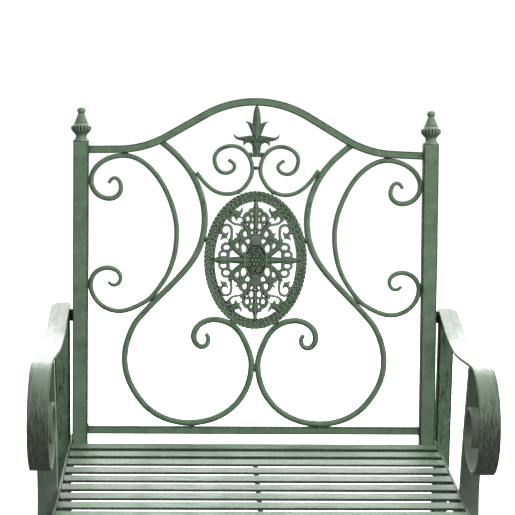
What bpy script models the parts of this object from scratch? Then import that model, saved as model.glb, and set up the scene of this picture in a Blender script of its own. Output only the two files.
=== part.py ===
"""Garden bench for one: a raked wrought back between two bolted side frames, with a slatted seat.

Metres, +Z up, X across the bench, -Y to the front. The origin is on the floor at the middle of
the bench's outline.

Two frames of reference carry the pieces:
- the back panel's own plane: u outward from the middle, v up the raked posts, depth backwards.
  v = 0 is the top of the bottom rail.
- the side frames' plane: b backwards from the foot of the back panel (negative to the front), z up.
"""

import math

import bmesh
import bpy
from mathutils import Vector

# ---------------------------------------------------------------- driving dimensions
BACK_WIDTH = 0.621            # outer face to outer face of the back posts
BACK_FOOT_Y = 0.16277         # where the front of the panel stands at v = 0
BACK_FOOT_Z = 0.450           # top of the bottom rail
BACK_RAKE = math.radians(7.3)
POST_TOP = 0.4845             # up the post, under the finial
POST_BOTTOM = -0.060          # below the bottom rail, beside the seat
TUBE = 0.0254                 # square tube of the posts and rear legs
TUBE_WALL = 0.0015
RAIL = 0.0127                 # square bar of the top and bottom rails
LYRE_ROD = 0.010
SIDE_ROD = 0.008
CROWN_ROD = 0.0064
STRETCHER_ROD = 0.010

SPACER_THICKNESS = 0.005      # and the side rails
SPACER_DIAMETER = 0.021
ARM_WIDTH = 0.032
ARM_THICKNESS = 0.005
LEG_BAR_THICKNESS = 0.006
LEG_AXIS_B = 0.0365           # the rear leg's centre line, under the arm's rear end
STRETCHER_Z = 0.165

SEAT_TOP = 0.425
SLAT_COUNT = 9
SLAT_WIDTH = 0.030
SLAT_PITCH = 0.045
SLAT_THICKNESS = 0.004
SLAT_REAR_EDGE = -0.012       # b of the rearmost slat's rear edge
SEAT_BAR_HEIGHT = 0.030
SEAT_BAR_THICKNESS = 0.005
SEAT_RAIL_Z = 0.4087          # middle of the side rails and of the lower bolts
SIDE_RAIL_HEIGHT = 0.030
SEAT_BOLT_B = (-0.360, -0.060)

BOLT_SHANK = 0.006
BOLT_HEAD = 0.012
BOLT_HEAD_HEIGHT = 0.0035
BOLT_HOLE = 0.0068
ARM_BOLT_Z = 0.6375
FOOT_HEIGHT = 0.006
PAD_HEIGHT = 0.004

GAP = 0.0003                  # between faces that touch
MERGE = 0.00005

# ---------------------------------------------------------------- worked out from them
BACK_HALF = BACK_WIDTH / 2
POST_U = BACK_HALF - TUBE / 2
RAIL_END_U = BACK_HALF - TUBE - GAP
MID_DEPTH = TUBE / 2
SIDE_INNER_X = BACK_HALF + GAP + SPACER_THICKNESS + GAP
ARM_X = SIDE_INNER_X + ARM_WIDTH / 2
LEG_X = SIDE_INNER_X + TUBE / 2
LOWER_BOLT_V = (SEAT_RAIL_Z - BACK_FOOT_Z + MID_DEPTH * math.sin(BACK_RAKE)) / math.cos(BACK_RAKE)
LOWER_BOLT_B = LOWER_BOLT_V * math.sin(BACK_RAKE) + MID_DEPTH * math.cos(BACK_RAKE)
ARM_BOLT_V = (ARM_BOLT_Z - BACK_FOOT_Z + MID_DEPTH * math.sin(BACK_RAKE)) / math.cos(BACK_RAKE)
SLAT_BOTTOM = SEAT_TOP - SLAT_THICKNESS
SEAT_BAR_Z = SLAT_BOTTOM - GAP - SEAT_BAR_HEIGHT / 2
SEAT_FRONT_B = SLAT_REAR_EDGE - (SLAT_COUNT - 1) * SLAT_PITCH - SLAT_WIDTH
SEAT_HALF = BACK_HALF

SIDES = (("left", -1), ("right", 1))
IN_PANEL = (math.pi / 2, 0, 0)             # a flat curve's x, y become u, v
IN_SIDE = (math.pi / 2, 0, math.pi / 2)    # a flat curve's x, y become b, z
ALONG_X = (0, math.pi / 2, 0)              # a turned piece's axis laid across the bench

# ---------------------------------------------------------------- smooth paths
# A path is a list of (across, up, heading in degrees); between two points it is one
# curve that leaves and arrives along their headings.
ARCH_RADIUS = 0.174
SHOULDER_RADIUS = 0.170
ARCH_TOP = 0.556
ARCH_SLOPE = 30.4
ARCH_END_SLOPE = 1.5
ARCH_STRAIGHT = 0.0746

LYRE = [
    (0.1571, 0.4815, 217), (0.107, 0.4265, 241), (0.0873, 0.354, 270), (0.107, 0.285, 303),
    (0.150, 0.235, 315), (0.205, 0.175, 300), (0.2223, 0.114, 270), (0.190, 0.038, 228),
    (0.112, 0.0055, 180), (0.040, 0.0305, 140), (0.0055, 0.107, 90), (0.0212, 0.1547, 62),
    (0.069, 0.1835, 0), (0.1045, 0.154, 270), (0.090, 0.1365, 180), (0.0795, 0.149, 90),
    (0.0845, 0.1585, 30),
]
SIDE_SCROLL = [
    (0.2505, 0.413, 110), (0.241, 0.4225, 180), (0.230, 0.405, 270), (0.250, 0.3872, 0),
    (0.2808, 0.417, 90), (0.224, 0.4606, 180), (0.155, 0.405, 243), (0.1348, 0.331, 270),
    (0.155, 0.251, 302), (0.1865, 0.213, 328), (0.232, 0.1955, 0), (0.2808, 0.241, 90),
    (0.252, 0.269, 180), (0.230, 0.2525, 270), (0.241, 0.2395, 0), (0.2505, 0.2455, 60),
]
CROWN_SCROLL = [
    (0.1015, 0.4345, 238), (0.081, 0.4105, 221), (0.050, 0.3984, 180), (0.017, 0.4145, 125),
    (0.0068, 0.440, 90), (0.041, 0.4805, 0), (0.0715, 0.4575, 270), (0.053, 0.434, 180),
    (0.037, 0.446, 90), (0.048, 0.4565, 20),
]
ARM = [
    (0.050, 0.6515, 193), (-0.040, 0.632, 191), (-0.150, 0.6225, 180), (-0.245, 0.632, 172),
    (-0.340, 0.6445, 180), (-0.4325, 0.562, 270), (-0.360, 0.487, 0), (-0.2858, 0.529, 90),
    (-0.330, 0.576, 180), (-0.366, 0.546, 270), (-0.347, 0.523, 0),
]
FRONT_LEG = [
    (-0.306, 0.6363, 286), (-0.2575, 0.415, 270), (-0.318, 0.225, 247), (-0.372, 0.075, 250),
    (-0.415, 0.0073, 180), (-0.432, 0.0073, 180),
]
REAR_LEG = [
    (LEG_AXIS_B, 0.660, 270), (LEG_AXIS_B, 0.400, 270), (0.082, 0.090, 279), (0.097, -0.010, 279),
]
ARM_END_SLOPE = math.radians(13)
ARM_UNDERSIDE_AT_LEG = 0.6455

MEDALLION_V = 0.2862
MEDALLION_HALF = (0.0870, 0.1170)
MEDALLION_RING = 0.0175
MEDALLION_THICKNESS = 0.008
BOSS_HALF = (0.0195, 0.0275)
MEDALLION_SPOKES = 8
SPOKE_WIDTH = 0.009
MID_RING = 0.50               # of the way from the boss to the outer ring
MID_RING_WIDTH = 0.007

FLEUR_THICKNESS = 0.007
FLEUR_HALF = [                # right half of the spear, from its tip down to its foot
    (0.0000, 0.5492), (0.0030, 0.5455), (0.0054, 0.5360), (0.0066, 0.5240), (0.0205, 0.5224),
    (0.0140, 0.5180), (0.0095, 0.5090), (0.0068, 0.4985), (0.0120, 0.4983), (0.0205, 0.4972),
    (0.0295, 0.4961), (0.0392, 0.5008), (0.0366, 0.4941), (0.0304, 0.4908), (0.0242, 0.4895),
    (0.0214, 0.4806), (0.0180, 0.4838), (0.0131, 0.4858), (0.0088, 0.4815), (0.0068, 0.4760),
    (0.0068, 0.4690), (0.0050, 0.4640),
]

FINIAL_PROFILE = [            # radius, height above the post, top to bottom
    (0.0000, 0.0600), (0.0042, 0.0592), (0.0066, 0.0552), (0.0056, 0.0512), (0.0054, 0.0485),
    (0.0085, 0.0390), (0.0112, 0.0300), (0.0122, 0.0290), (0.0160, 0.0275), (0.0172, 0.0232),
    (0.0150, 0.0175), (0.0100, 0.0125), (0.0084, 0.0090), (0.0098, 0.0052), (0.0125, 0.0025),
    (0.0125, 0.0003), (0.0000, 0.0003),
]


# ---------------------------------------------------------------- scene and materials
def clear_scene():
    for obj in list(bpy.data.objects):
        bpy.data.objects.remove(obj, do_unlink=True)


def new_collection(name):
    collection = bpy.data.collections.new(name)
    bpy.context.scene.collection.children.link(collection)
    return collection


def make_material(name, colour, roughness, metallic):
    material = bpy.data.materials.new(name)
    material.use_nodes = True
    shader = material.node_tree.nodes["Principled BSDF"]
    shader.inputs["Base Color"].default_value = (*colour, 1)
    shader.inputs["Roughness"].default_value = roughness
    shader.inputs["Metallic"].default_value = metallic
    return material


clear_scene()
PARTS = new_collection("garden_bench")
CUTTERS = new_collection("cutters")
GREEN_IRON = ((0.115, 0.190, 0.120), 0.50, 0.10)
DARK_IRON = ((0.085, 0.150, 0.090), 0.55, 0.10)
BLACK_PLASTIC = ((0.012, 0.014, 0.012), 0.45, 0.00)
BLACK_RUBBER = ((0.015, 0.015, 0.015), 0.80, 0.00)
ZINC = ((0.45, 0.46, 0.46), 0.35, 1.00)


def add_empty(name, location, rotation=(0, 0, 0)):
    empty = bpy.data.objects.new(name, None)
    empty.location = location
    empty.rotation_euler = rotation
    PARTS.objects.link(empty)
    return empty


# Children of this empty use x = u, y = depth, z = v.
BACK_PANEL = add_empty("back_panel_frame", (0, BACK_FOOT_Y, BACK_FOOT_Z), (-BACK_RAKE, 0, 0))
# Children of this empty use x across, y = b, z up.
BODY = add_empty("body_frame", (0, BACK_FOOT_Y, 0))


def place(obj, finish, parent, location=(0, 0, 0), rotation=(0, 0, 0)):
    """Put a finished piece in the bench with a material of its own."""
    PARTS.objects.link(obj)
    obj.parent = parent
    obj.location = location
    obj.rotation_euler = rotation
    obj.data.materials.append(make_material(obj.name + "_finish", *finish))
    return obj


# ---------------------------------------------------------------- shape tools
def direction(heading):
    angle = math.radians(heading)
    return Vector((math.cos(angle), math.sin(angle)))


def cross(a, b):
    return a.x * b.y - a.y * b.x


def handle_lengths(start, end):
    """How far each handle reaches so that the stretch is close to part of an ellipse."""
    chord = Vector(end[:2]) - Vector(start[:2])
    leave, arrive = direction(start[2]), direction(end[2])
    turn = math.radians(abs((end[2] - start[2] + 180) % 360 - 180))
    spread = cross(leave, arrive)
    if abs(spread) > 1e-6:
        ahead = cross(chord, arrive) / spread
        behind = cross(leave, chord) / spread
        if ahead > 0 and behind > 0:
            share = 4 / 3 * math.tan(turn / 4) / math.tan(turn / 2)
            return share * ahead, share * behind
    reach = chord.length / 3 / math.cos(turn / 4) ** 2
    return reach, reach


def add_smooth_spline(curve, path, side=1, resolution=5):
    """One open spline through a path of (across, up, heading); side mirrors it."""
    spline = curve.splines.new("BEZIER")
    spline.bezier_points.add(len(path) - 1)
    spline.resolution_u = resolution
    for index, point in enumerate(path):
        here, along = Vector(point[:2]), direction(point[2])
        reach_back = handle_lengths(path[index - 1], point)[1] if index else 0.001
        reach_on = handle_lengths(point, path[index + 1])[0] if index + 1 < len(path) else 0.001
        knot = spline.bezier_points[index]
        knot.handle_left_type = knot.handle_right_type = "FREE"
        places = ("handle_left", here - along * reach_back), ("co", here), \
            ("handle_right", here + along * reach_on)
        for attribute, spot in places:
            setattr(knot, attribute, (side * spot.x, spot.y, 0))
    return spline


def new_curve(name, flat=True):
    curve = bpy.data.curves.new(name, "CURVE")
    curve.dimensions = "2D" if flat else "3D"
    curve.render_resolution_u = 0
    return curve


def rod(name, path, diameter, side=1, resolution=5):
    """A round bar bent along a path, with flat ends."""
    curve = new_curve(name)
    curve.bevel_depth = diameter / 2
    curve.bevel_resolution = 2
    curve.use_fill_caps = True
    add_smooth_spline(curve, path, side, resolution)
    for spline in curve.splines:
        spline.use_smooth = True
    return bpy.data.objects.new(name, curve)


def flat_bar(name, path, width, thickness, side=1, resolution=5):
    """A flat bar bent the easy way: a ribbon as wide as the bar, given its thickness."""
    curve = new_curve(name)
    curve.extrude = width / 2
    add_smooth_spline(curve, path, side, resolution)
    bar = bpy.data.objects.new(name, curve)
    add_solidify(bar, thickness, 0)
    return bar


def add_solidify(obj, thickness, offset):
    solidify = obj.modifiers.new("thickness", "SOLIDIFY")
    solidify.thickness = thickness
    solidify.offset = offset
    solidify.use_even_offset = True
    return solidify


def add_bevel(obj, width, segments=1):
    bevel = obj.modifiers.new("edges", "BEVEL")
    bevel.width = width
    bevel.segments = segments
    bevel.limit_method = "ANGLE"
    return bevel


def mesh_object(name, mesh_maker):
    mesh = bpy.data.meshes.new(name)
    work = bmesh.new()
    mesh_maker(work)
    bmesh.ops.recalc_face_normals(work, faces=work.faces)
    work.to_mesh(mesh)
    work.free()
    return bpy.data.objects.new(name, mesh)


def make_cube(work, size, centre=(0, 0, 0)):
    made = bmesh.ops.create_cube(work, size=1)
    bmesh.ops.scale(work, vec=size, verts=made["verts"])
    bmesh.ops.translate(work, vec=centre, verts=made["verts"])


def block(name, size, centre=(0, 0, 0), bevel=0.0):
    obj = mesh_object(name, lambda work: make_cube(work, size, centre))
    if bevel:
        add_bevel(obj, bevel)
    return obj


def square_tube(name, low, high):
    """A vertical square tube, open at both ends, its walls inside the outline."""
    def open_box(work):
        make_cube(work, (TUBE, TUBE, high - low), (0, 0, (high + low) / 2))
        ends = [face for face in work.faces if abs(face.normal.z) > 0.5]
        bmesh.ops.delete(work, geom=ends, context="FACES_ONLY")
    obj = mesh_object(name, open_box)
    add_solidify(obj, TUBE_WALL, -1)
    return obj


def cylinder(name, diameter, length, sides=16):
    def make(work):
        bmesh.ops.create_cone(work, cap_ends=True, segments=sides, radius1=diameter / 2,
                              radius2=diameter / 2, depth=length)
    return mesh_object(name, make)


def turned(name, profile, steps=16):
    """A shape of revolution about Z from (radius, height) points, top to bottom."""
    def make(work):
        verts = [work.verts.new((radius, 0, height)) for radius, height in profile]
        for upper, lower in zip(verts, verts[1:]):
            work.edges.new((upper, lower))
    mesh = bpy.data.meshes.new(name)
    work = bmesh.new()
    make(work)
    work.to_mesh(mesh)
    work.free()
    obj = bpy.data.objects.new(name, mesh)
    screw = obj.modifiers.new("turn", "SCREW")
    screw.steps = screw.render_steps = steps
    screw.use_merge_vertices = True
    screw.merge_threshold = MERGE
    screw.use_smooth_shade = True
    return obj


def plugged_cap(name, flange, flange_height, plug, plug_height):
    """A square flange standing on z = 0 with a smaller square plug rising from it."""
    def make(work):
        make_cube(work, (flange, flange, flange_height), (0, 0, flange_height / 2))
        top = [face for face in work.faces if face.normal.z > 0.5]
        bmesh.ops.inset_region(work, faces=top, thickness=(flange - plug) / 2,
                               use_even_offset=True)
        grown = bmesh.ops.extrude_face_region(work, geom=top)
        risen = [item for item in grown["geom"] if isinstance(item, bmesh.types.BMVert)]
        bmesh.ops.translate(work, vec=(0, 0, plug_height), verts=risen)
        bmesh.ops.delete(work, geom=top, context="FACES_ONLY")
    return mesh_object(name, make)


def cut(obj, cutter, parent, location, rotation=(0, 0, 0)):
    """Take a cutter's shape out of a piece."""
    CUTTERS.objects.link(cutter)
    cutter.parent = parent
    cutter.location = location
    cutter.rotation_euler = rotation
    cutter.hide_render = True
    cutter.display_type = "WIRE"
    boolean = obj.modifiers.new("cut", "BOOLEAN")
    boolean.operation = "DIFFERENCE"
    boolean.object = cutter


def drill(obj, name, parent, location, depth):
    """A bolt hole across the bench, through the walls that the depth reaches."""
    cut(obj, cylinder(name, BOLT_HOLE, depth, 12), parent, location, ALONG_X)


# ---------------------------------------------------------------- back panel
def arch_points():
    """The top rail's right half as tangent arcs, from the crest out to the post."""
    slope = math.radians(ARCH_SLOPE)
    end_slope = math.radians(ARCH_END_SLOPE)
    u = ARCH_RADIUS * math.sin(slope)
    v = ARCH_TOP - ARCH_RADIUS * (1 - math.cos(slope))
    points = [(0, ARCH_TOP, 0), (u, v, -ARCH_SLOPE)]
    u += ARCH_STRAIGHT * math.cos(slope)
    v -= ARCH_STRAIGHT * math.sin(slope)
    points.append((u, v, -ARCH_SLOPE))
    u += SHOULDER_RADIUS * (math.sin(slope) - math.sin(end_slope))
    v -= SHOULDER_RADIUS * (math.cos(end_slope) - math.cos(slope))
    points.append((u, v, -ARCH_END_SLOPE))
    run = RAIL_END_U - u
    points.append((RAIL_END_U, v - run * math.tan(end_slope), -ARCH_END_SLOPE))
    return points


def make_posts():
    for side, sign in SIDES:
        post = square_tube(f"{side}_back_post", POST_BOTTOM, POST_TOP)
        place(post, GREEN_IRON, BACK_PANEL, (sign * POST_U, MID_DEPTH, 0))
        for hole, v in (("arm", ARM_BOLT_V), ("seat", LOWER_BOLT_V)):
            outer_wall = (sign * (BACK_HALF - TUBE_WALL / 2), MID_DEPTH, v)
            drill(post, f"{side}_post_{hole}_hole", BACK_PANEL, outer_wall, 0.006)
        plug = plugged_cap(f"{side}_post_plug", TUBE, 0.003, 0.0214, 0.010)
        place(plug, BLACK_PLASTIC, BACK_PANEL,
              (sign * POST_U, MID_DEPTH, POST_BOTTOM - 0.003 - GAP))
        finial = turned(f"{side}_finial", FINIAL_PROFILE)
        place(finial, DARK_IRON, BACK_PANEL, (sign * POST_U, MID_DEPTH, POST_TOP))


def make_rails():
    right = arch_points()
    left = [(-u, v, -heading) for u, v, heading in reversed(right[1:])]
    top_rail = flat_bar("top_rail", left + right, RAIL, RAIL, resolution=7)
    place(top_rail, GREEN_IRON, BACK_PANEL, (0, MID_DEPTH, 0), IN_PANEL)
    bottom_rail = block("bottom_rail", (2 * RAIL_END_U, RAIL, RAIL), bevel=0.0008)
    place(bottom_rail, GREEN_IRON, BACK_PANEL, (0, MID_DEPTH, -RAIL / 2))


def make_scrolls():
    for side, sign in SIDES:
        scrolls = (("lyre_scroll", LYRE, LYRE_ROD), ("side_scroll", SIDE_SCROLL, SIDE_ROD),
                   ("crown_scroll", CROWN_SCROLL, CROWN_ROD))
        for name, path, diameter in scrolls:
            scroll = rod(f"{side}_{name}", path, diameter, sign)
            place(scroll, GREEN_IRON, BACK_PANEL, (0, MID_DEPTH, 0), IN_PANEL)


def add_loop(curve, points):
    """A closed straight-sided outline through (x, y) points."""
    spline = curve.splines.new("POLY")
    spline.points.add(len(points) - 1)
    for point, (x, y) in zip(spline.points, points):
        point.co = (x, y, 0, 1)
    spline.use_cyclic_u = True


def oval_point(radii, angle):
    return radii[0] * math.cos(angle), radii[1] * math.sin(angle)


def sector_opening(inner, outer, start, end, corner_steps=4):
    """A window between two ovals and two spokes, each spoke half a spoke width away."""
    def edge(radii, first, last):
        inset = SPOKE_WIDTH / 2 / math.hypot(*oval_point(radii, (first + last) / 2))
        low, high = min(first, last) + inset, max(first, last) - inset
        steps = range(corner_steps + 1)
        angles = [low + (high - low) * step / corner_steps for step in steps]
        return [oval_point(radii, angle) for angle in angles]
    return edge(outer, start, end) + list(reversed(edge(inner, start, end)))


def make_medallion():
    """An oval casting: outer ring, spokes, a middle ring and the boss, with windows between."""
    curve = new_curve("cast_medallion")
    curve.fill_mode = "BOTH"
    curve.extrude = MEDALLION_THICKNESS / 2
    rim_steps = 48
    turn = 2 * math.pi
    add_loop(curve, [oval_point(MEDALLION_HALF, turn * i / rim_steps) for i in range(rim_steps)])
    opening = [half - MEDALLION_RING for half in MEDALLION_HALF]
    middle = [boss + (rim - boss) * MID_RING for boss, rim in zip(BOSS_HALF, opening)]
    middle_in = [half - MID_RING_WIDTH / 2 for half in middle]
    middle_out = [half + MID_RING_WIDTH / 2 for half in middle]
    for spoke in range(MEDALLION_SPOKES):
        start = turn * (spoke + 0.5) / MEDALLION_SPOKES
        end = start + turn / MEDALLION_SPOKES
        add_loop(curve, sector_opening(BOSS_HALF, middle_in, start, end))
        half = (start + end) / 2
        add_loop(curve, sector_opening(middle_out, opening, start, half))
        add_loop(curve, sector_opening(middle_out, opening, half, end))
    medallion = bpy.data.objects.new("cast_medallion", curve)
    place(medallion, DARK_IRON, BACK_PANEL, (0, MID_DEPTH, MEDALLION_V), IN_PANEL)


def make_fleur():
    curve = new_curve("fleur_de_lis")
    curve.fill_mode = "BOTH"
    curve.extrude = FLEUR_THICKNESS / 2
    other_half = [(-u, v) for u, v in reversed(FLEUR_HALF[1:])]
    add_loop(curve, FLEUR_HALF + other_half)
    fleur = bpy.data.objects.new("fleur_de_lis", curve)
    place(fleur, DARK_IRON, BACK_PANEL, (0, MID_DEPTH, 0), IN_PANEL)


# ---------------------------------------------------------------- side frames
def bent_square_tube(name, path):
    """The rear leg: a square outline carried along a path, then given walls."""
    outline = new_curve(name + "_outline")
    half = TUBE / 2
    add_loop(outline, [(-half, -half), (half, -half), (half, half), (-half, half)])
    guide = bpy.data.objects.new(name + "_outline", outline)
    guide.hide_render = True
    guide.display_type = "WIRE"
    CUTTERS.objects.link(guide)
    curve = new_curve(name)
    curve.bevel_mode = "OBJECT"
    curve.bevel_object = guide
    add_smooth_spline(curve, path, resolution=4)
    sweep = bpy.data.objects.new(name + "_sweep", curve)
    CUTTERS.objects.link(sweep)
    bpy.context.view_layer.update()
    evaluated = sweep.evaluated_get(bpy.context.evaluated_depsgraph_get())
    mesh = bpy.data.meshes.new_from_object(evaluated)
    bpy.data.objects.remove(sweep)
    work = bmesh.new()
    work.from_mesh(mesh)
    bmesh.ops.remove_doubles(work, verts=work.verts, dist=MERGE)
    bmesh.ops.recalc_face_normals(work, faces=work.faces)
    work.to_mesh(mesh)
    work.free()
    mesh.name = name
    leg = bpy.data.objects.new(name, mesh)
    add_solidify(leg, TUBE_WALL, -1)
    return leg


def make_rear_legs():
    for side, sign in SIDES:
        leg = bent_square_tube(f"{side}_rear_leg", REAR_LEG)
        place(leg, GREEN_IRON, BODY, (sign * LEG_X, 0, 0), IN_SIDE)
        trim = 0.060
        above = (sign * LEG_X, LEG_AXIS_B - math.sin(ARM_END_SLOPE) * trim / 2,
                 ARM_UNDERSIDE_AT_LEG - GAP + math.cos(ARM_END_SLOPE) * trim / 2)
        cut(leg, block(f"{side}_arm_seat", (trim, trim, trim)), BODY, above,
            (ARM_END_SLOPE, 0, 0))
        below = (sign * LEG_X, REAR_LEG[-1][0], FOOT_HEIGHT + GAP - trim / 2)
        cut(leg, block(f"{side}_floor_cut", (trim, trim, trim)), BODY, below)
        drill(leg, f"{side}_leg_hole", BODY, (sign * LEG_X, LEG_AXIS_B, ARM_BOLT_Z), 0.040)
        foot = plugged_cap(f"{side}_rear_foot", 0.029, FOOT_HEIGHT, 0.018, 0.010)
        foot_b = REAR_LEG[-1][0] - 0.002
        place(foot, BLACK_RUBBER, BODY, (sign * LEG_X, foot_b, 0))


def make_arms():
    for side, sign in SIDES:
        arm = flat_bar(f"{side}_arm", ARM, ARM_WIDTH, ARM_THICKNESS)
        place(arm, GREEN_IRON, BODY, (sign * ARM_X, 0, 0), IN_SIDE)


def make_front_legs():
    for side, sign in SIDES:
        leg = flat_bar(f"{side}_front_leg", FRONT_LEG, ARM_WIDTH, LEG_BAR_THICKNESS)
        place(leg, GREEN_IRON, BODY, (sign * ARM_X, 0, 0), IN_SIDE)
        pad_length = 0.034
        pad = block(f"{side}_front_pad", (ARM_WIDTH - 0.002, pad_length, PAD_HEIGHT), bevel=0.0008)
        pad_b = FRONT_LEG[-1][0] + pad_length / 2
        place(pad, BLACK_RUBBER, BODY, (sign * ARM_X, pad_b, PAD_HEIGHT / 2))


def make_side_rails():
    rear_b = LEG_AXIS_B + TUBE / 2
    front_b = SEAT_FRONT_B - 0.004
    length = rear_b - front_b
    for side, sign in SIDES:
        rail = block(f"{side}_side_rail", (SPACER_THICKNESS, length, SIDE_RAIL_HEIGHT))
        x = BACK_HALF + GAP + SPACER_THICKNESS / 2
        place(rail, GREEN_IRON, BODY, (sign * x, (rear_b + front_b) / 2, SEAT_RAIL_Z))
        for b in (*SEAT_BOLT_B, LOWER_BOLT_B):
            drill(rail, f"{side}_rail_hole", BODY, (sign * x, b, SEAT_RAIL_Z), 0.012)
        add_bevel(rail, 0.0006)


def path_b_at(path, height):
    """Where a leg's path crosses a height, between its two nearest points."""
    upper = [point for point in path if point[1] >= height][-1]
    lower = [point for point in path if point[1] < height][0]
    share = (height - lower[1]) / (upper[1] - lower[1])
    return lower[0] + share * (upper[0] - lower[0])


def make_stretchers():
    front_b = path_b_at(FRONT_LEG, STRETCHER_Z) + LEG_BAR_THICKNESS + 0.0015
    rear_b = path_b_at(REAR_LEG, STRETCHER_Z) - TUBE / 2 - 0.0035
    for side, sign in SIDES:
        path = [(front_b, STRETCHER_Z, 0), (rear_b, STRETCHER_Z, 0)]
        stretcher = rod(f"{side}_stretcher", path, STRETCHER_ROD, resolution=1)
        place(stretcher, GREEN_IRON, BODY, (sign * LEG_X, 0, 0), IN_SIDE)


# ---------------------------------------------------------------- seat
def make_seat():
    for index in range(SLAT_COUNT):
        b = SLAT_REAR_EDGE - SLAT_WIDTH / 2 - index * SLAT_PITCH
        size = (2 * SEAT_HALF - 0.001, SLAT_WIDTH, SLAT_THICKNESS)
        slat = block(f"seat_slat_{index + 1}", size, bevel=0.001)
        place(slat, GREEN_IRON, BODY, (0, b, SEAT_TOP - SLAT_THICKNESS / 2))
    front_b, rear_b = SEAT_FRONT_B, SLAT_REAR_EDGE
    for side, sign in SIDES:
        bar = block(f"{side}_seat_bar", (SEAT_BAR_THICKNESS, rear_b - front_b, SEAT_BAR_HEIGHT))
        x = SEAT_HALF - SEAT_BAR_THICKNESS / 2
        place(bar, GREEN_IRON, BODY, (sign * x, (front_b + rear_b) / 2, SEAT_BAR_Z))
        for b in SEAT_BOLT_B:
            drill(bar, f"{side}_seat_bar_hole", BODY, (sign * x, b, SEAT_RAIL_Z), 0.012)
        add_bevel(bar, 0.0006)
    inside = 2 * (SEAT_HALF - SEAT_BAR_THICKNESS - GAP)
    cross_bar = (inside, SEAT_BAR_THICKNESS, SEAT_BAR_HEIGHT)
    inset = 0.010
    for name, b in (("seat_front_rail", front_b + inset), ("seat_rear_rail", rear_b - inset)):
        place(block(name, cross_bar, bevel=0.0006), GREEN_IRON, BODY, (0, b, SEAT_BAR_Z))
    length = rear_b - front_b - 2 * inset - SEAT_BAR_THICKNESS - 2 * GAP
    centre = block("seat_centre_bar", (SEAT_BAR_THICKNESS, length, SEAT_BAR_HEIGHT), bevel=0.0006)
    place(centre, GREEN_IRON, BODY, (0, (front_b + rear_b) / 2, SEAT_BAR_Z))


# ---------------------------------------------------------------- fixings
def bolt_profile(shank_length):
    """Domed head above z = 0, shank below it."""
    head, shank = BOLT_HEAD / 2, BOLT_SHANK / 2
    return [(0, BOLT_HEAD_HEIGHT), (head * 0.6, BOLT_HEAD_HEIGHT * 0.85), (head, 0.0008),
            (head, GAP), (shank, GAP), (shank, -shank_length), (0, -shank_length)]


def make_bolt(name, sign, face_x, b, z, shank_length):
    """A bolt whose head bears on the outward face at face_x."""
    bolt = turned(name, bolt_profile(shank_length), 12)
    place(bolt, ZINC, BODY, (sign * face_x, b, z), (0, sign * math.pi / 2, 0))


def make_fixings():
    leg_outer = SIDE_INNER_X + TUBE
    rail_outer = BACK_HALF + GAP + SPACER_THICKNESS
    for side, sign in SIDES:
        spacer = cylinder(f"{side}_spacer", SPACER_DIAMETER, SPACER_THICKNESS, 20)
        centre_x = sign * (BACK_HALF + GAP + SPACER_THICKNESS / 2)
        place(spacer, BLACK_PLASTIC, BODY, (centre_x, LEG_AXIS_B, ARM_BOLT_Z), ALONG_X)
        drill(spacer, f"{side}_spacer_bore", BODY, (centre_x, LEG_AXIS_B, ARM_BOLT_Z), 0.012)
        reach = leg_outer - BACK_HALF + TUBE_WALL + 0.002
        make_bolt(f"{side}_arm_bolt", sign, leg_outer, LEG_AXIS_B, ARM_BOLT_Z, reach)
        reach = rail_outer - BACK_HALF + TUBE_WALL + 0.002
        make_bolt(f"{side}_back_bolt", sign, rail_outer, LOWER_BOLT_B, SEAT_RAIL_Z, reach)
        for place_name, b in zip(("front", "rear"), SEAT_BOLT_B):
            inner_face = SEAT_HALF - SEAT_BAR_THICKNESS
            reach = rail_outer - inner_face + 0.005
            make_bolt(f"{side}_{place_name}_seat_bolt", sign, rail_outer, b, SEAT_RAIL_Z, reach)
            nut_height = 0.007
            nut = cylinder(f"{side}_{place_name}_cap_nut", 0.0115, nut_height, 6)
            nut_x = sign * (inner_face - GAP - nut_height / 2)
            place(nut, ZINC, BODY, (nut_x, b, SEAT_RAIL_Z), ALONG_X)
            bore_x = sign * (inner_face + 0.0005)
            drill(nut, f"{side}_{place_name}_nut_bore", BODY, (bore_x, b, SEAT_RAIL_Z), 0.012)


make_posts()
make_rails()
make_scrolls()
make_medallion()
make_fleur()
make_rear_legs()
make_arms()
make_front_legs()
make_side_rails()
make_stretchers()
make_seat()
make_fixings()
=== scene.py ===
"""Looks for the antique green garden bench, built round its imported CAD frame.

Metres, +Z up, the front towards -Y. Wrought bars are sections carried along the design's own
paths, castings are relief grown from strokes, and every piece is made in place in the row frame.

Two frames of reference are found from the CAD boxes:
- the back panel: u outward, v up the raked posts from the top of the bottom rail, depth back
- the side frames: b backwards from the foot of the panel, z up
"""

import math

import bmesh
import bpy
import numpy as np
from mathutils import Matrix, Vector, noise


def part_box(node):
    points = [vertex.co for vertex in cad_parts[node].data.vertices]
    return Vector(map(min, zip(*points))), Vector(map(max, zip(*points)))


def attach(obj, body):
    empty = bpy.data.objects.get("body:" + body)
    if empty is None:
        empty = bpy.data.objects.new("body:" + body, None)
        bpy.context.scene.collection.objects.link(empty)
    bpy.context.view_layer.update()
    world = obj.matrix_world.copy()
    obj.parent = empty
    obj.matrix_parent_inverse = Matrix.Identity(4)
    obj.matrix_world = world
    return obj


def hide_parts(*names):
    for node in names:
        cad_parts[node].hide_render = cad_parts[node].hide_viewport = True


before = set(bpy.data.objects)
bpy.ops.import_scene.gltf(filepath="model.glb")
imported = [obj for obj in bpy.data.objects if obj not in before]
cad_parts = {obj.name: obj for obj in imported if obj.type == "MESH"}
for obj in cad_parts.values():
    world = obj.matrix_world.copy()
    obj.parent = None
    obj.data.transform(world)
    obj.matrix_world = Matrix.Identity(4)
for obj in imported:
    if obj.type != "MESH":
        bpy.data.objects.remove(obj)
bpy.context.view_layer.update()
MM = 0.001
WELD_GAP = 0.0003            # between welded CAD pieces

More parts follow.
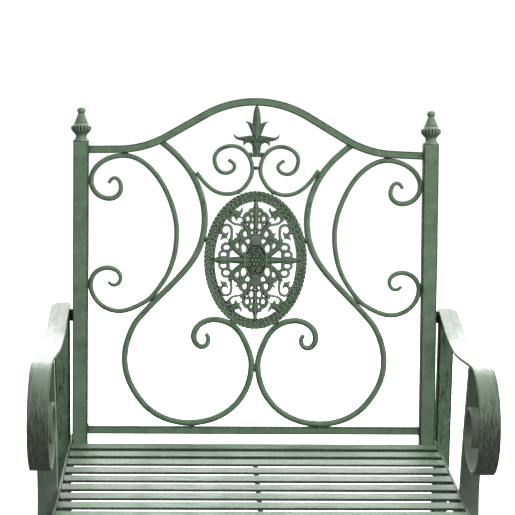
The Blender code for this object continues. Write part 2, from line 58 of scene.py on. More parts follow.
# ---------------------------------------------------------------- the design's sizes
TUBE = 0.0254
RAIL = 0.0127
POST_TOP = 0.4845
POST_BOTTOM = -0.060
MID_DEPTH = TUBE / 2
LYRE_ROD, SIDE_ROD, CROWN_ROD, STRETCHER_ROD = 0.0107, 0.0086, 0.0070, 0.0102
ARM_WIDTH, ARM_THICKNESS, LEG_BAR_THICKNESS = 0.032, 0.005, 0.006
LEG_AXIS_B = 0.0365
SLAT_COUNT = 9

SIDES = (("left", -1), ("right", 1))

# A path is a list of (across, up, heading in degrees); between two points it is one
# curve that leaves and arrives along their headings.
LYRE = [
    (0.1571, 0.4815, 217), (0.107, 0.4265, 241), (0.0873, 0.354, 270), (0.107, 0.285, 303),
    (0.150, 0.235, 315), (0.205, 0.175, 300), (0.2223, 0.114, 270), (0.190, 0.038, 228),
    (0.112, 0.0055, 180), (0.040, 0.0305, 140), (0.0055, 0.107, 90), (0.0212, 0.1547, 62),
    (0.069, 0.1835, 0), (0.1045, 0.154, 270), (0.090, 0.1365, 180), (0.0795, 0.149, 90),
    (0.0845, 0.1585, 30),
]
SIDE_SCROLL = [
    (0.2505, 0.413, 110), (0.241, 0.4225, 180), (0.230, 0.405, 270), (0.250, 0.3872, 0),
    (0.2808, 0.417, 90), (0.224, 0.4606, 180), (0.155, 0.405, 243), (0.1348, 0.331, 270),
    (0.155, 0.251, 302), (0.1865, 0.213, 328), (0.232, 0.1955, 0), (0.2808, 0.241, 90),
    (0.252, 0.269, 180), (0.230, 0.2525, 270), (0.241, 0.2395, 0), (0.2505, 0.2455, 60),
]
CROWN_SCROLL = [
    (0.1015, 0.4345, 238), (0.081, 0.4105, 221), (0.050, 0.3984, 180), (0.017, 0.4145, 125),
    (0.0068, 0.440, 90), (0.041, 0.4805, 0), (0.0715, 0.4575, 270), (0.053, 0.434, 180),
    (0.037, 0.446, 90), (0.048, 0.4565, 20),
]
ARM = [
    (0.050, 0.6515, 193), (-0.040, 0.632, 191), (-0.150, 0.6225, 180), (-0.245, 0.632, 172),
    (-0.340, 0.6445, 180), (-0.4325, 0.562, 270), (-0.360, 0.487, 0), (-0.2858, 0.529, 90),
    (-0.330, 0.576, 180), (-0.366, 0.546, 270), (-0.347, 0.523, 0),
]
FRONT_LEG = [
    (-0.306, 0.6363, 286), (-0.2575, 0.415, 270), (-0.318, 0.225, 247), (-0.372, 0.075, 250),
    (-0.415, 0.0073, 180), (-0.432, 0.0073, 180),
]
REAR_LEG = [
    (LEG_AXIS_B, 0.6445, 270), (LEG_AXIS_B, 0.400, 270), (0.082, 0.090, 279),
    (0.0947, 0.0063, 279),
]
ARCH_RADIUS, ARCH_TOP, ARCH_SLOPE, ARCH_STRAIGHT = 0.174, 0.556, 30.4, 0.0746
SHOULDER_RADIUS, ARCH_END_SLOPE = 0.170, 1.5


# ---------------------------------------------------------------- frames of reference
def centre(node):
    low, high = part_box(node)
    return (low + high) / 2


def panel_frame():
    """The matrix that takes (u, depth, v) to the row frame, from two CAD pieces' centres."""
    post, rail = centre("left_back_post"), centre("bottom_rail")
    rake = math.atan2(post.y - rail.y, post.z - rail.z)
    turn = Matrix.Rotation(-rake, 4, "X")
    foot = Vector((0, rail.y, rail.z)) - turn @ Vector((0, MID_DEPTH, -RAIL / 2))
    return Matrix.Translation(foot) @ turn


PANEL = panel_frame()
FOOT_Y = PANEL.translation.y
POST_U = centre("right_back_post").x
POST_INNER = POST_U - TUBE / 2
ARM_X = centre("right_arm").x
LEG_X = centre("right_rear_leg").x


def out_of_square(across, height):
    """How much a piece rides up on the left and down on the right, growing to 0.7 m up."""
    return -0.0105 * across * np.clip(height / 0.70, 0, 1)


def in_panel(points):
    """Rows of (u, v, depth behind the rods' middle) as rows in the row frame."""
    local = np.column_stack([points[:, 0], points[:, 2] + MID_DEPTH, points[:, 1]])
    turn = np.array(PANEL.to_3x3())
    return local @ turn.T + np.array(PANEL.translation)


def in_side(x):
    """Rows of (b, z, sideways) in a side frame whose middle stands at x."""
    def to_row_frame(points):
        lift = out_of_square(x, points[:, 1])
        return np.column_stack([points[:, 2] + x, points[:, 0] + FOOT_Y, points[:, 1] + lift])
    return to_row_frame


def racked(points):
    """As in_panel, for what is welded between the posts."""
    lift = out_of_square(points[:, 0], PANEL.translation.z + points[:, 1])
    return in_panel(np.column_stack([points[:, 0], points[:, 1] + lift, points[:, 2]]))


# ---------------------------------------------------------------- mesh making
def make_piece(name, verts, faces, finish, flow=None, wash=None, nodes=(), sharp=40):
    """A finished mesh that rides on the bench; flow is each point's place in the unbent bar."""
    mesh = bpy.data.meshes.new(name)
    mesh.from_pydata([tuple(v) for v in verts], [], faces)
    work = bmesh.new()
    work.from_mesh(mesh)
    bmesh.ops.recalc_face_normals(work, faces=work.faces)
    work.to_mesh(mesh)
    work.free()
    flow = verts if flow is None else flow
    attribute = mesh.attributes.new("flow", "FLOAT_VECTOR", "POINT")
    attribute.data.foreach_set("vector", np.asarray(flow, np.float32).ravel())
    # the wash attribute: dark wash and painted shade above 0, painted highlights below 0
    attribute = mesh.attributes.new("wash", "FLOAT", "POINT")
    wash = np.zeros(len(verts)) if wash is None else wash
    attribute.data.foreach_set("value", np.asarray(wash, np.float32))
    mesh.polygons.foreach_set("use_smooth", [True] * len(mesh.polygons))
    mesh.set_sharp_from_angle(angle=math.radians(sharp))
    mesh.materials.append(finish)
    piece = bpy.data.objects.new(name, mesh)
    bpy.context.scene.collection.objects.link(piece)
    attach(piece, "root")
    if nodes:
        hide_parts(*nodes)
    return piece


def wobble(points, size, wavelength):
    """A small push for each row, the same every time, as from a hammer and thick paint."""
    return size * np.array([noise.noise(Vector(p) / wavelength) for p in points])


# ---------------------------------------------------------------- paths
def direction(heading):
    angle = math.radians(heading)
    return np.array((math.cos(angle), math.sin(angle)))


def handle_lengths(start, end):
    """How far each handle reaches so that the stretch is close to part of an ellipse."""
    chord = np.subtract(end[:2], start[:2])
    leave, arrive = direction(start[2]), direction(end[2])
    turn = math.radians(abs((end[2] - start[2] + 180) % 360 - 180))
    spread = leave[0] * arrive[1] - leave[1] * arrive[0]
    if abs(spread) > 1e-6:
        ahead = (chord[0] * arrive[1] - chord[1] * arrive[0]) / spread
        behind = (leave[0] * chord[1] - leave[1] * chord[0]) / spread
        if ahead > 0 and behind > 0:
            share = 4 / 3 * math.tan(turn / 4) / math.tan(turn / 2)
            return share * ahead, share * behind
    reach = np.hypot(*chord) / 3 / math.cos(turn / 4) ** 2
    return reach, reach


def distances(line):
    """How far along the line each point lies."""
    return np.concatenate([[0], np.cumsum(np.hypot(*np.diff(line[:, :2], axis=0).T))])


def even_steps(line, step):
    """The same line with points about a step apart."""
    along = distances(line)
    count = max(2, int(round(along[-1] / step)) + 1)
    places = np.linspace(0, along[-1], count)
    return np.column_stack([np.interp(places, along, column) for column in line.T])


def follow(path, step=0.0025):
    """Points along a path of (across, up, heading)."""
    t = np.linspace(0, 1, 60)[:, None]
    line = []
    for start, end in zip(path, path[1:]):
        leave, arrive = handle_lengths(start, end)
        a, d = np.array(start[:2]), np.array(end[:2])
        b, c = a + direction(start[2]) * leave, d - direction(end[2]) * arrive
        line.append(a * (1 - t) ** 3 + 3 * b * t * (1 - t) ** 2 + 3 * c * t * t * (1 - t)
                    + d * t ** 3)
    return even_steps(np.vstack(line), step)


def arch_path():
    """The top rail from its left end to its right end, as tangent arcs."""
    slope, end_slope = math.radians(ARCH_SLOPE), math.radians(ARCH_END_SLOPE)
    u = ARCH_RADIUS * math.sin(slope)
    v = ARCH_TOP - ARCH_RADIUS * (1 - math.cos(slope))
    right = [(0, ARCH_TOP, 0), (u, v, -ARCH_SLOPE)]
    u += ARCH_STRAIGHT * math.cos(slope)
    v -= ARCH_STRAIGHT * math.sin(slope)
    right.append((u, v, -ARCH_SLOPE))
    u += SHOULDER_RADIUS * (math.sin(slope) - math.sin(end_slope))
    v -= SHOULDER_RADIUS * (math.cos(end_slope) - math.cos(slope))
    right.append((u, v, -ARCH_END_SLOPE))
    end = POST_INNER - WELD_GAP
    right.append((end, v - (end - u) * math.tan(end_slope), -ARCH_END_SLOPE))
    return [(-u, v, -heading) for u, v, heading in reversed(right[1:])] + right


# ---------------------------------------------------------------- sections and sweeps
def round_section(diameter, sides=16):
    """Rows of (outward in the path's plane, sideways, wash) round a rod, with painted shade on
    its two sides in the path's plane.
    """
    angle = np.arange(sides) * 2 * math.pi / sides
    circle = np.column_stack([np.cos(angle), np.sin(angle)]) * (diameter / 2)
    # painted shade: darkest on the two sides in the path's plane, none on the front and back
    return np.column_stack([circle, 0.30 * np.cos(angle) ** 4])


EDGE_WASH = 0.75
EDGE_BANDS = ((0.0004, 0.60), (0.0010, 0.22), (0.0020, 0.0))   # distance in, and its wash
ROUGH, ROUGH_LENGTH = 0.00010, 0.012          # how high and how long the lumps are
END_BEVEL, TAPER_LENGTH = 0.0007, 0.055
WELD_WASH_AND_PAINTED_SHADE_REACH = 0.0045


def bar_section(thick, wide, radius, middle=2):
    """A bar with softened edges; points crowd beside the edges, where the dark wash lies."""
    rows = []
    corners = ((1, 1, 0), (-1, 1, 90), (-1, -1, 180), (1, -1, 270))
    half = np.array((thick / 2 - radius, wide / 2 - radius))
    for index, (sn, sw, start) in enumerate(corners):
        for step in range(4):
            angle = math.radians(start + step * 30)
            rows.append((sn * half[0] + radius * math.cos(angle),
                         sw * half[1] + radius * math.sin(angle), EDGE_WASH))
        run = 2 * half[1] if index in (1, 3) else 2 * half[0]
        towards = direction(start + 180)
        begin = np.array(rows[-1][:2])
        bands = [band for band in EDGE_BANDS if band[0] < run * 0.4]
        inner = [(run * (step + 1) / (middle + 1), 0.0) for step in range(middle)]
        inner = [place for place in inner if 0.003 < place[0] < run - 0.003]
        marks = bands + inner + [(run - d, w) for d, w in reversed(bands)]
        for place, wash in marks:
            rows.append((*(begin + towards * place), wash))
    return np.array(rows)


def tube_faces(rings, around):
    """The faces from each ring in rings to the next one."""
    return [(r * around + k, r * around + (k + 1) % around,
             (r + 1) * around + (k + 1) % around, (r + 1) * around + k)
            for r in rings for k in range(around)]


def sweep_parts(line, section, scale, squeeze, rough):
    """A section carried along a line: points (across, up, sideways), faces, flow and wash.

    scale shrinks whole rings, for tapered ends. squeeze gives each ring's reach to the
    outer side as a share of the full one, for rounded corners in plan.
    """
    count, around = len(line), len(section)
    tangent = np.gradient(line[:, :2], axis=0)
    tangent /= np.hypot(*tangent.T)[:, None]
    normal = np.column_stack([-tangent[:, 1], tangent[:, 0]])
    along = distances(line)
    out = section[None, :, 0] * scale[:, None]
    side = section[None, :, 1] * scale[:, None]
    if squeeze is not None:
        edge = section[:, 1].min()
        side = edge + (side - edge) * squeeze[:, None]
    flow = np.stack([np.repeat(along[:, None], around, 1), out, side], 2).reshape(-1, 3)
    push = (1 + wobble(flow, rough, ROUGH_LENGTH).reshape(count, around)
            / max(np.abs(section[:, :2]).max(), 0.004))
    plane = line[:, None, :2] + normal[:, None, :] * (out * push)[:, :, None]
    points = np.concatenate([plane, (side * push)[:, :, None]], 2).reshape(-1, 3)
    wash = np.repeat(section[None, :, 2], count, 0).ravel()
    faces = tube_faces(range(count - 1), around)
    faces += [tuple(range(around))[::-1], tuple((count - 1) * around + k for k in range(around))]
    return points, faces, flow, wash


def with_ends(line):
    """The line with an extra point close to each end, for the ends' bevel."""
    def near(end, after):
        return end + (after - end) * min(0.5, END_BEVEL / np.hypot(*(after - end)))
    first, last = near(line[0], line[1]), near(line[-1], line[-2])
    return np.vstack([line[:1], first[None], line[1:-1], last[None], line[-1:]])


def end_scale(line, inset, taper):
    """Ring sizes: a small bevel at both ends, after the forged taper of each end."""
    along = distances(line)
    scale = (1 - taper[0] * np.clip(1 - along / TAPER_LENGTH, 0, 1)) \
        * (1 - taper[1] * np.clip(1 - (along[-1] - along) / TAPER_LENGTH, 0, 1))
    scale[0] *= 1 - inset
    scale[-1] *= 1 - inset
    return scale


def weld_wash_and_painted_shade(points, spots):
    """How dark the wash and painted shade lie at each point for being beside a weld."""
    gap = np.hypot(points[:, None, 0] - spots[None, :, 0], points[:, None, 1] - spots[None, :, 1])
    return 0.6 * np.exp(-(gap.min(1) / WELD_WASH_AND_PAINTED_SHADE_REACH) ** 2)


def bar(name, line, section, to_row_frame, finish, inset=0.10,
        taper=(0.0, 0.0), nodes=None, spots=None, squeeze=None, rough=ROUGH, drips=None):
    """One wrought bar along a line of (across, up); drips gives each ring's share of wash."""
    line = with_ends(line)
    if squeeze is not None:
        squeeze = squeeze(line)
    points, faces, flow, wash = sweep_parts(line, section, end_scale(line, inset, taper),
                                            squeeze, rough)
    if spots is not None:
        # dark wash with painted shade beside the welds
        wash = np.maximum(wash, weld_wash_and_painted_shade(points, spots))
    if drips is not None:
        wash = np.maximum(wash, np.repeat(drips(line), len(section)))
    nodes = (name,) if nodes is None else nodes
    return make_piece(name + "_paint", to_row_frame(points), faces, finish, flow, wash,
                      nodes)


# ---------------------------------------------------------------- materials
class Paint:
    """A node material being put together."""

    def __init__(self, name):
        self.material = bpy.data.materials.new(name)
        self.material.use_nodes = True
        self.tree = self.material.node_tree
        self.shader = self.tree.nodes["Principled BSDF"]

    def add(self, kind, inputs=(), **settings):
        node = self.tree.nodes.new(kind)
        for key, value in settings.items():
            setattr(node, key, value)
        for key, value in dict(inputs).items():
            self.feed(node.inputs[key], value)
        return node

    def feed(self, socket, value):
        if isinstance(value, bpy.types.NodeSocket):
            self.tree.links.new(value, socket)
        else:
            socket.default_value = value

    def attribute(self, name):
        return self.add("ShaderNodeAttribute", attribute_name=name)

    def stretched(self, vector, scale):
        mapping = self.add("ShaderNodeMapping", {"Vector": vector, "Scale": scale})
        return mapping.outputs["Vector"]

    def noise(self, vector, scale, detail=3.0, roughness=0.6):
        made = self.add("ShaderNodeTexNoise", {"Vector": vector, "Scale": scale,
                                               "Detail": detail, "Roughness": roughness})
        return made.outputs["Fac"]

    def spread(self, value, low, high, to_low=0.0, to_high=1.0):
        """The value from low..high spread over to_low..to_high, and held there."""
        made = self.add("ShaderNodeMapRange", {"Value": value, "From Min": low,
                                               "From Max": high, "To Min": to_low,
                                               "To Max": to_high})
        return made.outputs["Result"]

    def joined(self, operation, first, second):
        made = self.add("ShaderNodeMath", {0: first, 1: second}, operation=operation)
        return made.outputs["Value"]

    def blend(self, factor, first, second):
        made = self.add("ShaderNodeMix", {0: factor, 6: first, 7: second}, data_type="RGBA")
        return made.outputs[2]

    def bump(self, height, strength, distance):
        made = self.add("ShaderNodeBump", {"Height": height, "Strength": strength,
                                           "Distance": distance})
        self.feed(self.shader.inputs["Normal"], made.outputs["Normal"])

    def set(self, **values):
        for key, value in values.items():
            self.feed(self.shader.inputs[key.replace("_", " ")], value)


GREEN_LIGHT = (0.148, 0.226, 0.146, 1)
GREEN_DEEP = (0.104, 0.164, 0.104, 1)
WASH = (0.020, 0.026, 0.016, 1)
BLUSH = (0.200, 0.190, 0.155, 1)
# painted highlight: the pale colour laid where the wash attribute is below 0
PAINTED_HIGHLIGHT = (0.330, 0.420, 0.310, 1)


def antique_green(name, light=GREEN_LIGHT, deep=GREEN_DEEP, streak=0.35, grain=0.30,
                  edge=0.85, along=1.0, gloss=0.25, roughness=(0.42, 0.60), bump=0.35):
    """Green paint over iron with a dark wash in its edges, corners and streaks, and with painted
    shade and painted highlights.

    The wash attribute is above 0 where the dark wash or painted shade lies and below 0 where a
    painted highlight lies.
    along stretches the broken edge of the wash into drips that run with the bar.
    """
    paint = Paint(name)
    flow = paint.attribute("flow").outputs["Vector"]
    # the wash attribute: dark wash and painted shade above 0, painted highlights below 0
    edges = paint.attribute("wash").outputs["Fac"]
    broad = paint.noise(flow, 45.0, 4.0, 0.65)
    fine = paint.noise(flow, 900.0, 2.0, 0.7)
    runs = paint.noise(paint.stretched(flow, (0.10, 1.0, 1.0)), 260.0, 3.0, 0.7)
    colour = paint.blend(paint.spread(broad, 0.35, 0.68), deep, light)
    colour = paint.blend(paint.spread(fine, 0.56, 0.80, 0.0, grain), colour, BLUSH)
    colour = paint.blend(paint.spread(fine, 0.42, 0.26, 0.0, grain), colour, WASH)
    patch = paint.noise(flow, 28.0, 2.0, 0.5)
    streaks = paint.joined("MULTIPLY", paint.spread(runs, 0.52, 0.66, 0.0, streak),
                           paint.spread(patch, 0.40, 0.62))
    colour = paint.blend(streaks, colour, WASH)
    # painted highlight where the wash attribute is below 0
    colour = paint.blend(paint.spread(edges, -0.10, -0.90), colour, PAINTED_HIGHLIGHT)
    torn = paint.noise(paint.stretched(flow, (1.0 / along, 1.0, 1.0)), 320.0 * along ** 0.3,
                       3.0, 0.7)
    # the dark wash, together with the painted shade that the wash attribute also carries
    share = paint.joined("ADD", edges, paint.spread(torn, 0.30, 0.70, -0.45, 0.45))
    wash_and_painted_shade_share = paint.spread(share, 0.20, 0.75, 0.0, edge)
    wash_and_painted_shade = paint.joined("MULTIPLY", wash_and_painted_shade_share, paint.spread(edges, 0.02, 0.30))
    colour = paint.blend(wash_and_painted_shade, colour, WASH)
    rough = paint.spread(paint.joined("ADD", broad, runs), 0.75, 1.30, *roughness)
    paint.set(Base_Color=colour, Roughness=rough, Metallic=0.0)
    paint.shader.inputs["Specular IOR Level"].default_value = gloss
    height = paint.joined("ADD", paint.noise(flow, 420.0, 2.0, 0.6),
                          paint.joined("MULTIPLY", fine, 0.4))
    paint.bump(height, bump, 0.0004)
    return paint.material


def dull_black(name, colour, sheen, scale, roughness, gloss):
    """Moulded black plastic or rubber with a faint pebbled skin and dust."""
    paint = Paint(name)
    place = paint.add("ShaderNodeTexCoord").outputs["Object"]
    grain = paint.noise(place, scale, 3.0, 0.6)
    dust = paint.noise(place, 130.0, 4.0, 0.6)
    paint.set(Base_Color=paint.blend(paint.spread(dust, 0.45, 0.75), colour, sheen),
              Roughness=paint.spread(grain, 0.3, 0.7, *roughness))
    paint.shader.inputs["Specular IOR Level"].default_value = gloss
    paint.bump(grain, 0.4, 0.0002)
    return paint.material


def zinc_plate(name):
    """Bright zinc with faint mottling and darker tarnish."""
    paint = Paint(name)
    place = paint.add("ShaderNodeTexCoord").outputs["Object"]
    spangle = paint.noise(place, 420.0, 3.0, 0.6)
    tarnish = paint.noise(place, 160.0, 4.0, 0.7)
    colour = paint.blend(paint.spread(spangle, 0.35, 0.65), (0.40, 0.41, 0.41, 1),
                         (0.55, 0.56, 0.55, 1))
    colour = paint.blend(paint.spread(tarnish, 0.55, 0.80, 0.0, 0.6), colour,
                         (0.20, 0.20, 0.18, 1))
    paint.set(Base_Color=colour, Roughness=paint.spread(tarnish, 0.3, 0.8, 0.28, 0.55),
              Metallic=1.0)
    paint.bump(spangle, 0.2, 0.0001)
    return paint.material


ROD_PAINT = antique_green("antique_green_rods", streak=0.80, gloss=0.12)
POST_PAINT = antique_green("antique_green_posts", streak=0.25, gloss=0.06,
                           roughness=(0.55, 0.70))
FLAT_PAINT = antique_green("antique_green_flats", light=(0.142, 0.200, 0.138, 1),
                           deep=(0.104, 0.150, 0.102, 1), streak=0.60, grain=0.50, edge=0.95,
                           along=9.0, gloss=0.90, roughness=(0.38, 0.54), bump=0.7)
LEG_PAINT = antique_green("antique_green_legs", light=(0.172, 0.262, 0.170, 1), streak=1.0,
                          grain=0.8, edge=0.95, along=5.0, gloss=0.06, roughness=(0.55, 0.70))
CAST_PAINT = antique_green("antique_green_castings", light=(0.112, 0.173, 0.112, 1),
                           deep=(0.070, 0.113, 0.072, 1), streak=0.0, grain=0.50, edge=1.0,
                           gloss=0.25)
TURNED_PAINT = antique_green("antique_green_finials", light=(0.215, 0.292, 0.208, 1),
                             deep=(0.092, 0.142, 0.090, 1), streak=0.0, grain=0.9,
                             edge=1.0, gloss=0.30)
WELD_PAINT = antique_green("antique_green_welds", deep=(0.060, 0.090, 0.058, 1), grain=0.6)
SEAT_PAINT = antique_green("antique_green_seat", streak=0.45)
BLACK_PLASTIC = dull_black("black_plastic", (0.004, 0.005, 0.004, 1), (0.010, 0.011, 0.010, 1),
                           900.0, (0.45, 0.60), 0.15)
BLACK_RUBBER = dull_black("black_rubber", (0.014, 0.014, 0.014, 1), (0.050, 0.048, 0.044, 1),
                          600.0, (0.70, 0.90), 0.30)
ZINC = zinc_plate("zinc_steel")


# ---------------------------------------------------------------- back panel bars
WELDS = [      # one side: (u, v, half length along u, half height along v, half depth) in mm
    (283.6, 470.0, 2.6, 6.8, 6.4), (224.0, 465.2, 6.0, 1.3, 3.4), (284.8, 417.0, 1.3, 4.2, 3.2),
    (284.8, 241.0, 1.3, 3.8, 3.2), (158.0, 484.0, 5.0, 3.0, 4.6), (108.0, -0.5, 6.0, 1.9, 4.2),
    (38.5, 178.5, 4.5, 3.0, 4.0), (85.8, 321.0, 3.2, 5.2, 4.8), (30.2, 401.6, 4.6, 2.8, 3.8),
    (106.2, 432.4, 1.9, 4.6, 3.6), (103.4, 428.0, 1.9, 4.2, 3.2),
    (9.8, 467.0, 3.6, 3.6, 3.8), (7.2, 464.6, 2.4, 2.6, 3.0), (175.5, 216.5, 5.0, 3.0, 4.2),
    (284.0, -6.0, 2.4, 6.6, 6.4),
]
MIDDLE_WELDS = [(0.0, 101.0, 2.2, 6.4, 4.2), (0.0, 443.5, 5.0, 3.2, 3.6)]
# where the wash and painted shade gather beside a weld
SPOTS = np.array([(sign * u, v) for u, v, *_ in WELDS for sign in (-1, 1)]
                 + [(u, v) for u, v, *_ in MIDDLE_WELDS]) * MM


def make_posts():
    section = bar_section(TUBE, TUBE, 0.0012, middle=4)
    for side, sign in SIDES:
        line = even_steps(np.array([(sign * POST_U, POST_BOTTOM), (sign * POST_U, POST_TOP)]),
                          0.006)
        bar(f"{side}_back_post", line, section, in_panel, POST_PAINT, inset=0.03, spots=SPOTS,
            rough=0.00016)


def make_rails():
    section = bar_section(RAIL, RAIL, 0.0011, middle=1)
    bar("top_rail", follow(arch_path(), 0.004), section, racked, POST_PAINT, inset=0.05,
        spots=SPOTS)
    reach = POST_INNER - WELD_GAP
    ends = np.array([(-reach, -RAIL / 2), (reach, -RAIL / 2)])
    bar("bottom_rail", even_steps(ends, 0.006), section, in_panel, POST_PAINT, inset=0.05,
        spots=SPOTS)


def reaching(line, steps):
    """The line with its start carried on by some of its own steps."""
    return np.vstack([line[0] + (line[0] - line[1]) * steps, line])


def make_scrolls():
    """The rods; the right crown scroll reaches further up than the left one."""
    scrolls = (("lyre_scroll", LYRE, LYRE_ROD, (0.0, 0.30)),
               ("side_scroll", SIDE_SCROLL, SIDE_ROD, (0.34, 0.34)),
               ("crown_scroll", CROWN_SCROLL, CROWN_ROD, (0.0, 0.15)))
    for side, sign in SIDES:
        for name, path, diameter, taper in scrolls:
            line = follow(path) * (sign, 1)
            if path is LYRE:
                line = reaching(line, 3)
            elif path is CROWN_SCROLL and side == "right":
                line = reaching(line, 3.4)
            bar(f"{side}_{name}", line, round_section(diameter), racked, ROD_PAINT,
                inset=0.14, taper=taper, spots=SPOTS, rough=0.00014)


# ---------------------------------------------------------------- turned finials
FINIAL_PROFILE = [            # radius, height above the post in mm, top to bottom
    (0.0, 59.4), (2.6, 59.1), (4.9, 58.1), (6.6, 56.3), (7.2, 54.2), (6.7, 52.0), (5.7, 50.4),
    (5.2, 49.6), (5.5, 48.4), (6.6, 45.5), (8.4, 41.0), (10.3, 36.5), (12.0, 32.0), (12.7, 30.9),
    (13.2, 30.2), (12.9, 29.5), (12.6, 29.1), (14.0, 28.9), (15.9, 28.1), (17.1, 26.3),
    (17.5, 24.0), (16.8, 21.4), (15.1, 18.8), (12.6, 16.2), (10.6, 14.0), (9.5, 12.4),
    (9.1, 11.0), (9.1, 9.6), (9.6, 8.0), (10.7, 6.4), (12.1, 4.9), (13.1, 3.6), (13.6, 2.6),
    (13.6, 1.7),
]
FLUTES = 18
FLUTE_TOP, FLUTE_BOTTOM, FLUTE_DEPTH = 28.9, 13.0, 0.115      # the depth as a share
CAP_WIDTH, CAP_HIGH = 0.0266, 0.0017


def plain_wash_and_painted_highlight(height):
    """The finial's wash off the flutes: dark under the ball, a painted highlight on the bowl's
    rim.
    """
    # painted highlight on the bowl's rim
    if 28.8 < height < 31:
        return -0.8
    return 0.7 if 48.5 < height < 51 else 0.12


def finial_points(steps):
    """Rings of the turned shape, with the bowl cut into flutes, and their wash and painted
    highlights.
    """
    points, wash = [], []
    for radius, height in FINIAL_PROFILE:
        up = (height - FLUTE_BOTTOM) / (FLUTE_TOP - FLUTE_BOTTOM)
        fluted = 0 < up < 1
        depth = FLUTE_DEPTH * math.sin(math.pi * up) ** 0.5 if fluted else 0
        for step in range(steps):
            angle = 2 * math.pi * step / steps
            gap = 1 - abs(math.cos(FLUTES * angle / 2)) ** 0.55 if fluted else 0
            reach = radius * (1 - depth * gap)
            points.append((reach * math.cos(angle), reach * math.sin(angle), height))
            # darker in the flutes' grooves, with a faint painted highlight on their ridges
            wash.append(2.1 * gap - 0.25 if fluted else plain_wash_and_painted_highlight(height))
    return np.array(points) * MM, np.array(wash)


def make_finials():
    steps = 6 * FLUTES
    rings, wash = finial_points(steps)
    count = len(FINIAL_PROFILE)
    faces = tube_faces(range(1, count - 1), steps)
    faces += [(steps + k, steps + (k + 1) % steps, 0) for k in range(steps)]
    faces.append(tuple((count - 1) * steps + k for k in range(steps)))
    keep = [0] + list(range(steps, count * steps))
    renumber = {old: new for new, old in enumerate(keep)}
    faces = [tuple(renumber[v] for v in face) for face in faces]
    rings, wash = rings[keep], wash[keep]
    for side, sign in SIDES:
        push = 1 + wobble(rings + (sign, 0, 0), 0.02, 0.006)[:, None]
        local = rings * np.hstack([push, push, np.ones_like(push)])
        placed = np.column_stack([local[:, 0] + sign * POST_U, local[:, 2] + POST_TOP,
                                  local[:, 1]])
        make_piece(f"{side}_finial_casting", in_panel(placed), faces, TURNED_PAINT,
                   rings, wash, (f"{side}_finial",), sharp=60)
        low, high = POST_TOP + WELD_GAP, POST_TOP + CAP_HIGH
        line = np.array([(sign * POST_U, low), (sign * POST_U, high)])
        section = bar_section(CAP_WIDTH, CAP_WIDTH, 0.0015, middle=1)
        section[:, 2] = np.maximum(section[:, 2], EDGE_WASH)
        bar(f"{side}_post_cap", line, section, in_panel, TURNED_PAINT,
            inset=0.02, nodes=())


# ---------------------------------------------------------------- cast relief
def smooth_line(points, steps=6):
    """A curve through rows of any width."""
    rows = np.array(points, float)
    ends = np.vstack([2 * rows[0] - rows[1], rows, 2 * rows[-1] - rows[-2]])
    t = np.linspace(0, 1, steps, endpoint=False)[:, None]
    line = [0.5 * (2 * b + (c - a) * t + (2 * a - 5 * b + 4 * c - d) * t ** 2
                   + (3 * b - a - 3 * c + d) * t ** 3)
            for a, b, c, d in zip(ends, ends[1:], ends[2:], ends[3:])]
    return np.vstack(line + [rows[-1:]])


def oval_gap(u, v, half):
    """How far inside an oval each place is, near enough beside its rim."""
    share = np.maximum(np.hypot(u / half[0], v / half[1]), 1e-6)
    slope = np.hypot(u / half[0] ** 2, v / half[1] ** 2) / share
    return (1 - share) / np.maximum(slope, 1e-6)


def neighbours(grid, reach, **edges):
    """The grid shifted to every place up to reach away; edges says how it goes on outside."""
    rows, columns = grid.shape
    padded = np.pad(grid, reach, **edges)
    shifts = range(2 * reach + 1)
    return np.stack([padded[r:r + rows, c:c + columns] for r in shifts for c in shifts])


PROFILES = {       # a stroke's height, by the share of the way from its middle to its edge
    "round": lambda share: np.clip(1 - share ** 1.8, 0, 1),
    "ridge": lambda share: np.clip(1 - share, 0, 1) ** 0.8,
    "vein": lambda share: (np.clip(1 - share ** 2.4, 0, 1)
                           * (1 - 0.75 * np.exp(-(share / 0.20) ** 2))),
}


BACK_SHARE = 0.75    # how deep a casting's back is, against its front
# dark wash with painted shade along a casting's outline
RIM_WASH_AND_PAINTED_SHADE = 1.1


